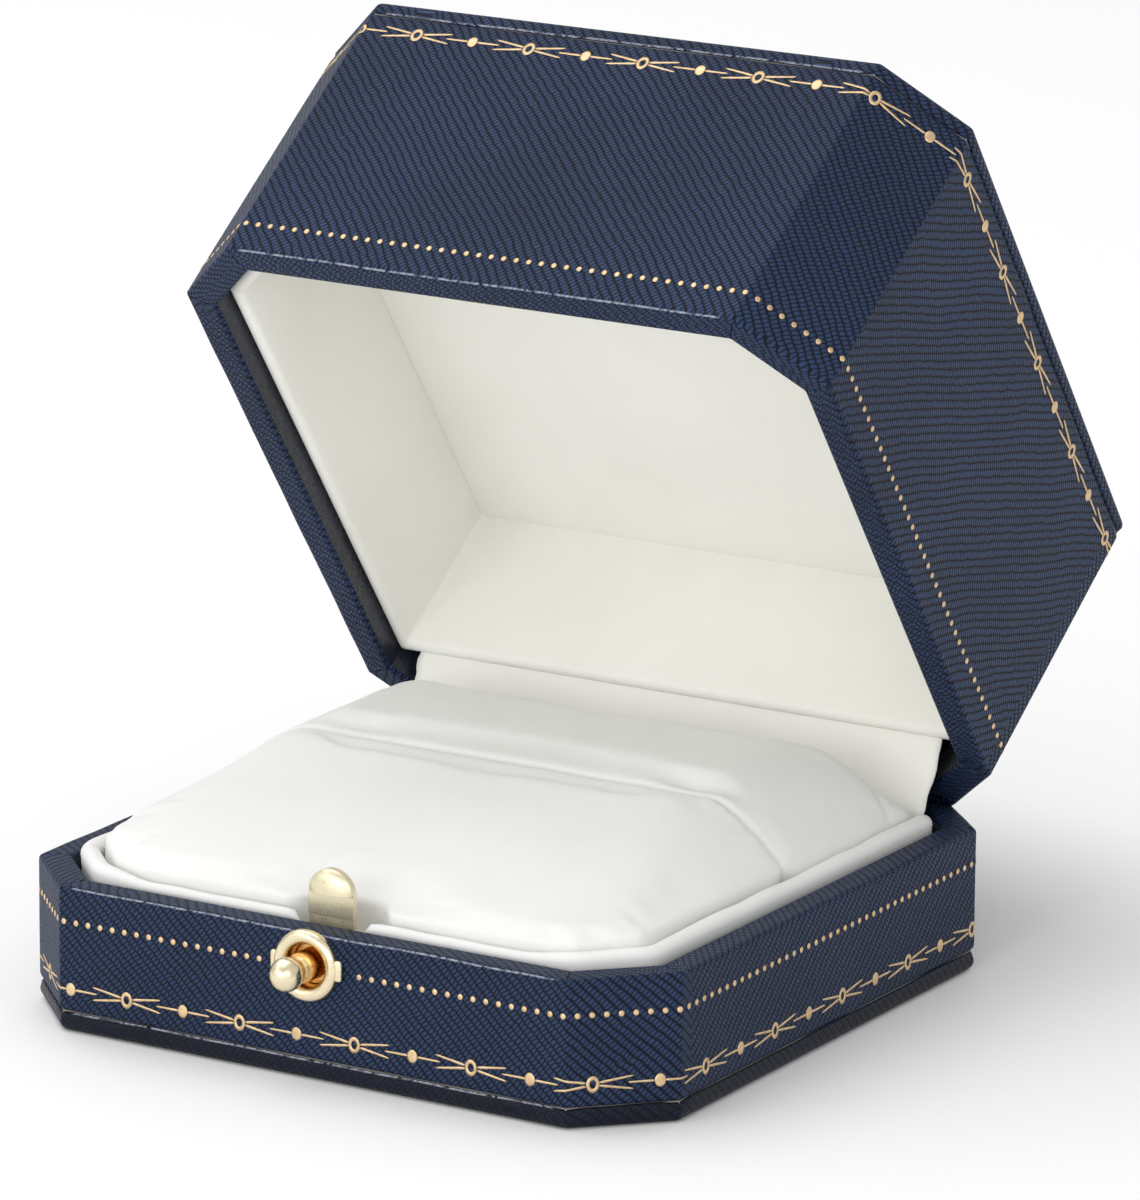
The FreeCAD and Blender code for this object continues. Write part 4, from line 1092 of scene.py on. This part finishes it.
def joint_strips():
    low, high = cad("hinge_gusset")
    foot_y = low.y + 0.12
    lining_edge = open_place(25.8, LINING_LOW + 0.15)
    on_base = ((foot_y, -6), (foot_y, -1.5), (foot_y + 0.3, 0.9), (29.2, 3.6))
    stops = [Vector((0, y, RIM + rise)) for y, rise in on_base]
    stops += [lining_edge, open_place(26.3, LINING_LOW + 1.3)]
    piece, length = cloth_strip("gusset_cloth", stops, high.x, 0.2, CREAM, 0.28)
    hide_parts("hinge_gusset")
    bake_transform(piece)

    half = cad("spine_strip")[1].x
    outside = HALF + 0.2
    stops = [open_place(outside, LID_RIM + rise) for rise in (7, 4, 2.2)]
    stops += [Vector((0, outside + out, RIM - drop))
              for out, drop in ((1.5, 1.5), (1.0, 2.6), (0, 3.4), (0, 6))]
    piece, length = cloth_strip("spine_leather", stops, half, 0.3, NAVY, 0.06)
    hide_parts("spine_strip")
    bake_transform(piece)


# Brass latch

def turned(profile, segments=72):
    """A surface of revolution about the button's axis from (y, radius) pairs, and its rows of vertices."""
    bm = bmesh.new()
    rows = []
    for y, radius in profile:
        rows.append([
            bm.verts.new((radius * math.cos(2 * math.pi * step / segments), y,
                          BUTTON_Z + radius * math.sin(2 * math.pi * step / segments)))
            for step in range(segments)
        ])
    for row, following in zip(rows, rows[1:]):
        bridge(bm, row, following)
    return bm, rows


def close_ends(bm, rows):
    bm.faces.new(rows[0])
    bm.faces.new(rows[-1][::-1])
    bmesh.ops.recalc_face_normals(bm, faces=bm.faces)


def paint_bore_reflection(piece, front):
    """Paints the faces within the bore, behind front, a warm orange that stands in for light reflected
    round inside the bore: a painted reflection, not a tone of the brass.
    """
    piece.data.materials.append(BORE_REFLECTION_BRASS)
    for polygon in piece.data.polygons:
        place = polygon.center / MM
        if math.hypot(place.x, place.z - BUTTON_Z) < BORE and place.y > front:
            polygon.material_index = 1


def escutcheon():
    """A rounded collar with two small ears and a sleeve through the wall."""
    low, high = cad("escutcheon")
    front, face = low.y, -HALF
    outer = high.z - BUTTON_Z
    profile = [(face + WALL, 2.5), (face + 0.02, 2.5), (face + 0.02, outer - 0.06), (face - 0.14, outer),
               (face - 0.36, outer - 0.03)]
    middle = (outer + 2.0) / 2 + 0.05
    for step in range(9):
        angle = math.radians(12 + 156 * step / 8)
        profile.append((face - 0.34 + (front - face + 0.34) * math.sin(angle),
                        middle + (outer - middle) * math.cos(angle)))
    profile += [(face - 0.22, 2.02), (face + 0.3, 2.0), (face + WALL, 2.0)]
    bm, rows = turned(profile)
    bridge(bm, rows[-1], rows[0])
    for sign in (-1, 1):
        block = rounded_block(
            (-0.8, face - 0.58, BUTTON_Z - 1.02), (0.8, face + 0.02, BUTTON_Z + 1.02), 0.28
        )
        for vert in block.verts:
            vert.co.x += sign * (high.x - 0.8)
        mesh = bpy.data.meshes.new("ear")
        block.to_mesh(mesh)
        block.free()
        bm.from_mesh(mesh)
        bpy.data.meshes.remove(mesh)
    bmesh.ops.recalc_face_normals(bm, faces=bm.faces)
    piece = new_object("escutcheon_brass", bm, BRASS, "base")
    # The faces inside the bore get the warm orange painted reflection.
    paint_bore_reflection(piece, face - 0.3)
    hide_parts("escutcheon")
    sharpen(piece, 38)


def button():
    """Ball, neck and stem, with the guide that runs in the sleeve and the nub behind it."""
    low, high = cad("push_button")
    radius = 1.6
    ball_y = low.y + radius
    profile = []
    for step in range(1, 15):
        angle = math.radians(180 * step / 18)
        profile.append((ball_y - radius * math.cos(angle), radius * math.sin(angle)))
    neck = -HALF - 1.75
    inside = -HALF + WALL
    stem, guide, groove, nub = 1.45, 1.93, 1.5, 0.6
    profile += [(ball_y + 1.33, 1.0), (neck, 1.02), (neck + 0.25, 1.12), (neck + 0.38, 1.4),
                (neck + 0.5, stem), (-HALF + 0.75, stem), (-HALF + 0.8, groove), (-HALF + 0.82, guide),
                (inside + 0.05, guide), (inside + 0.05, groove), (inside + 0.3, groove),
                (inside + 0.3, guide), (inside + 0.45, guide), (inside + 0.45, nub), (high.y, nub)]
    bm, rows = turned(profile)
    close_ends(bm, rows)
    piece = new_object("button_brass", bm, BRASS, "button")
    # The stem's faces inside the bore get the warm orange painted reflection.
    paint_bore_reflection(piece, -HALF - 1.6)
    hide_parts("push_button")
    sharpen(piece, 38)


def tongue_column(x, half, top):
    """Front line of the tongue at one place across it, as (y, z) from low down to the tip."""
    front = cad("latch_tongue")[0].y + STRIP_FRONT
    tip = top - half + math.sqrt(max(0.0, half * half - x * x))
    undercut = top - 2.28
    rows = [(0.0, STRIP_FOOT), (0.0, 11.0), (0.0, RIM + 0.42), (-0.1, RIM + 0.48), (-0.12, RIM + 0.56),
            (-0.12, undercut - 0.12), (-0.06, undercut - 0.06), (0.06, undercut - 0.03)]
    rows = [(y, min(z, tip)) for y, z in rows]
    nose_low = min(undercut, tip - 0.01)
    for step in range(13):
        z = nose_low + (tip - nose_low) * math.sin(math.pi / 2 * step / 12)
        round_off = 1 - (x / half) ** 2 - (max(0.0, z - undercut - 0.1) / 2.2) ** 2
        rows.append((-NOSE_BULGE * math.sqrt(max(0.0, round_off)), z))
    return [(front + y, z) for y, z in rows]


def tongue():
    """A brass strip with a flat band and a domed nose."""
    low, high = cad("latch_tongue")
    half, top = high.x - 0.02, high.z
    rear = low.y + STRIP_FRONT + STRIP_THICK
    columns = 40
    bm = bmesh.new()
    fronts, backs = [], []
    for i in range(columns + 1):
        x = -half * math.cos(math.pi * i / columns)
        line = tongue_column(x, half, top)
        fronts.append([bm.verts.new((x, y, z)) for y, z in line])
        backs.append([bm.verts.new((x, rear, z)) for _, z in line])
    count = len(fronts[0])
    for i in range(columns):
        for j in range(count - 1):
            bm.faces.new((fronts[i][j], fronts[i + 1][j], fronts[i + 1][j + 1], fronts[i][j + 1]))
            bm.faces.new((backs[i][j], backs[i][j + 1], backs[i + 1][j + 1], backs[i + 1][j]))
        bm.faces.new((fronts[i][-1], fronts[i + 1][-1], backs[i + 1][-1], backs[i][-1]))
        bm.faces.new((fronts[i][0], backs[i][0], backs[i + 1][0], fronts[i + 1][0]))
    for side, turn in ((0, 1), (columns, -1)):
        for j in range(count - 1):
            loop = (fronts[side][j], fronts[side][j + 1], backs[side][j + 1], backs[side][j])
            bm.faces.new(loop[::turn])
    bmesh.ops.remove_doubles(bm, verts=bm.verts, dist=0.004)
    bmesh.ops.recalc_face_normals(bm, faces=bm.faces)
    piece = new_object("tongue_brass", bm, SATIN_BRASS, "tongue")
    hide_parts("latch_tongue")
    sharpen(piece, 42)
    tongue_foot(half)


def tongue_foot(half):
    """The lower end of the strip, which rolls round the pivot pin."""
    pin_low, pin_high = cad("latch_pivot_pin")
    centre = (pin_low + pin_high) / 2
    bm = bmesh.new()
    neck, roll, join = 0.25, 0.85, centre.z + 0.82
    outline = [(centre.y - neck, STRIP_FOOT + 0.05), (centre.y - neck, join)]
    outline += arc((centre.y, centre.z), roll, 105, 420, 21)
    outline += [(centre.y + neck, join), (centre.y + neck, STRIP_FOOT + 0.05)]
    ends = []
    for x in (-half, 0.3):
        ends.append([bm.verts.new((x, y, z)) for y, z in outline])
    bridge(bm, *ends)
    bm.faces.new(ends[0])
    bm.faces.new(ends[1][::-1])
    bmesh.ops.recalc_face_normals(bm, faces=bm.faces)
    piece = new_object("tongue_foot_brass", bm, SATIN_BRASS, "tongue")
    sharpen(piece, 42)


# Room, light and camera

def floor():
    bm = bmesh.new()
    bmesh.ops.create_grid(bm, x_segments=2, y_segments=2, size=4000)
    for vert in bm.verts:
        vert.co.z = -0.05
    material, _, _ = new_material(
        "pale_floor", Base_Color=(0.93, 0.93, 0.93, 1), Roughness=0.6, Specular_IOR_Level=0.2
    )
    piece = new_object("floor", bm, material, None)


def area_light(name, place, target, size, watts):
    data = bpy.data.lights.new(name, "AREA")
    data.shape = "RECTANGLE"
    data.size, data.size_y = size
    data.energy = watts
    light = bpy.data.objects.new(name, data)
    bpy.context.scene.collection.objects.link(light)
    light.location = place
    light.rotation_mode = "QUATERNION"
    light.rotation_quaternion = (Vector(target) - Vector(place)).to_track_quat("-Z", "Y")


def lights():
    world = bpy.data.worlds.new("studio")
    bpy.context.scene.world = world
    world.use_nodes = True
    world.node_tree.nodes["Background"].inputs["Color"].default_value = (1, 1, 1, 1)
    world.node_tree.nodes["Background"].inputs["Strength"].default_value = 0.74
    middle = (0, 0, 0.03)
    area_light("overhead", (-0.40, 0.0, 0.95), middle, (1.1, 1.1), 4.6)
    area_light("front_left_box", (-0.75, -0.85, 0.5), middle, (0.7, 0.7), 1.2)
    area_light("right_box", (0.7, -0.9, 0.45), middle, (0.7, 0.7), 2.2)
    area_light("front_box", (-0.10, -1.2, 0.30), middle, (0.9, 0.5), 3.6)


def camera():
    azimuth, elevation, roll = math.radians(31.592), math.radians(14.79), math.radians(0.31)
    target, distance = Vector((0, 0, 0.03735)), 0.789616
    back = Vector((math.sin(azimuth) * math.cos(elevation),
                   -math.cos(azimuth) * math.cos(elevation), math.sin(elevation)))
    right = Vector((math.cos(azimuth), math.sin(azimuth), 0))
    up = back.cross(right)
    turned_right = right * math.cos(roll) + up * math.sin(roll)
    turned_up = up * math.cos(roll) - right * math.sin(roll)
    data = bpy.data.cameras.new("camera")
    data.sensor_width = 36
    data.lens = 253.45
    data.shift_x, data.shift_y = 0.04839, 0.00129
    data.clip_start, data.clip_end = 0.05, 20
    viewer = bpy.data.objects.new("camera", data)
    bpy.context.scene.collection.objects.link(viewer)
    axes = Matrix((turned_right, turned_up, back)).transposed().to_4x4()
    viewer.matrix_world = Matrix.Translation(target + back * distance) @ axes
    bpy.context.scene.camera = viewer


bpy.context.scene.view_settings.view_transform = "Standard"
camera()
floor()
lights()
dress_cad_nodes()
for box_side in (-1, 1):
    wall_shell(box_side)
    board_cover(box_side)
    foil(box_side)
lid_lining()
lid_ceiling()
collar()
cushion_pads()
joint_strips()
escutcheon()
button()
tongue()
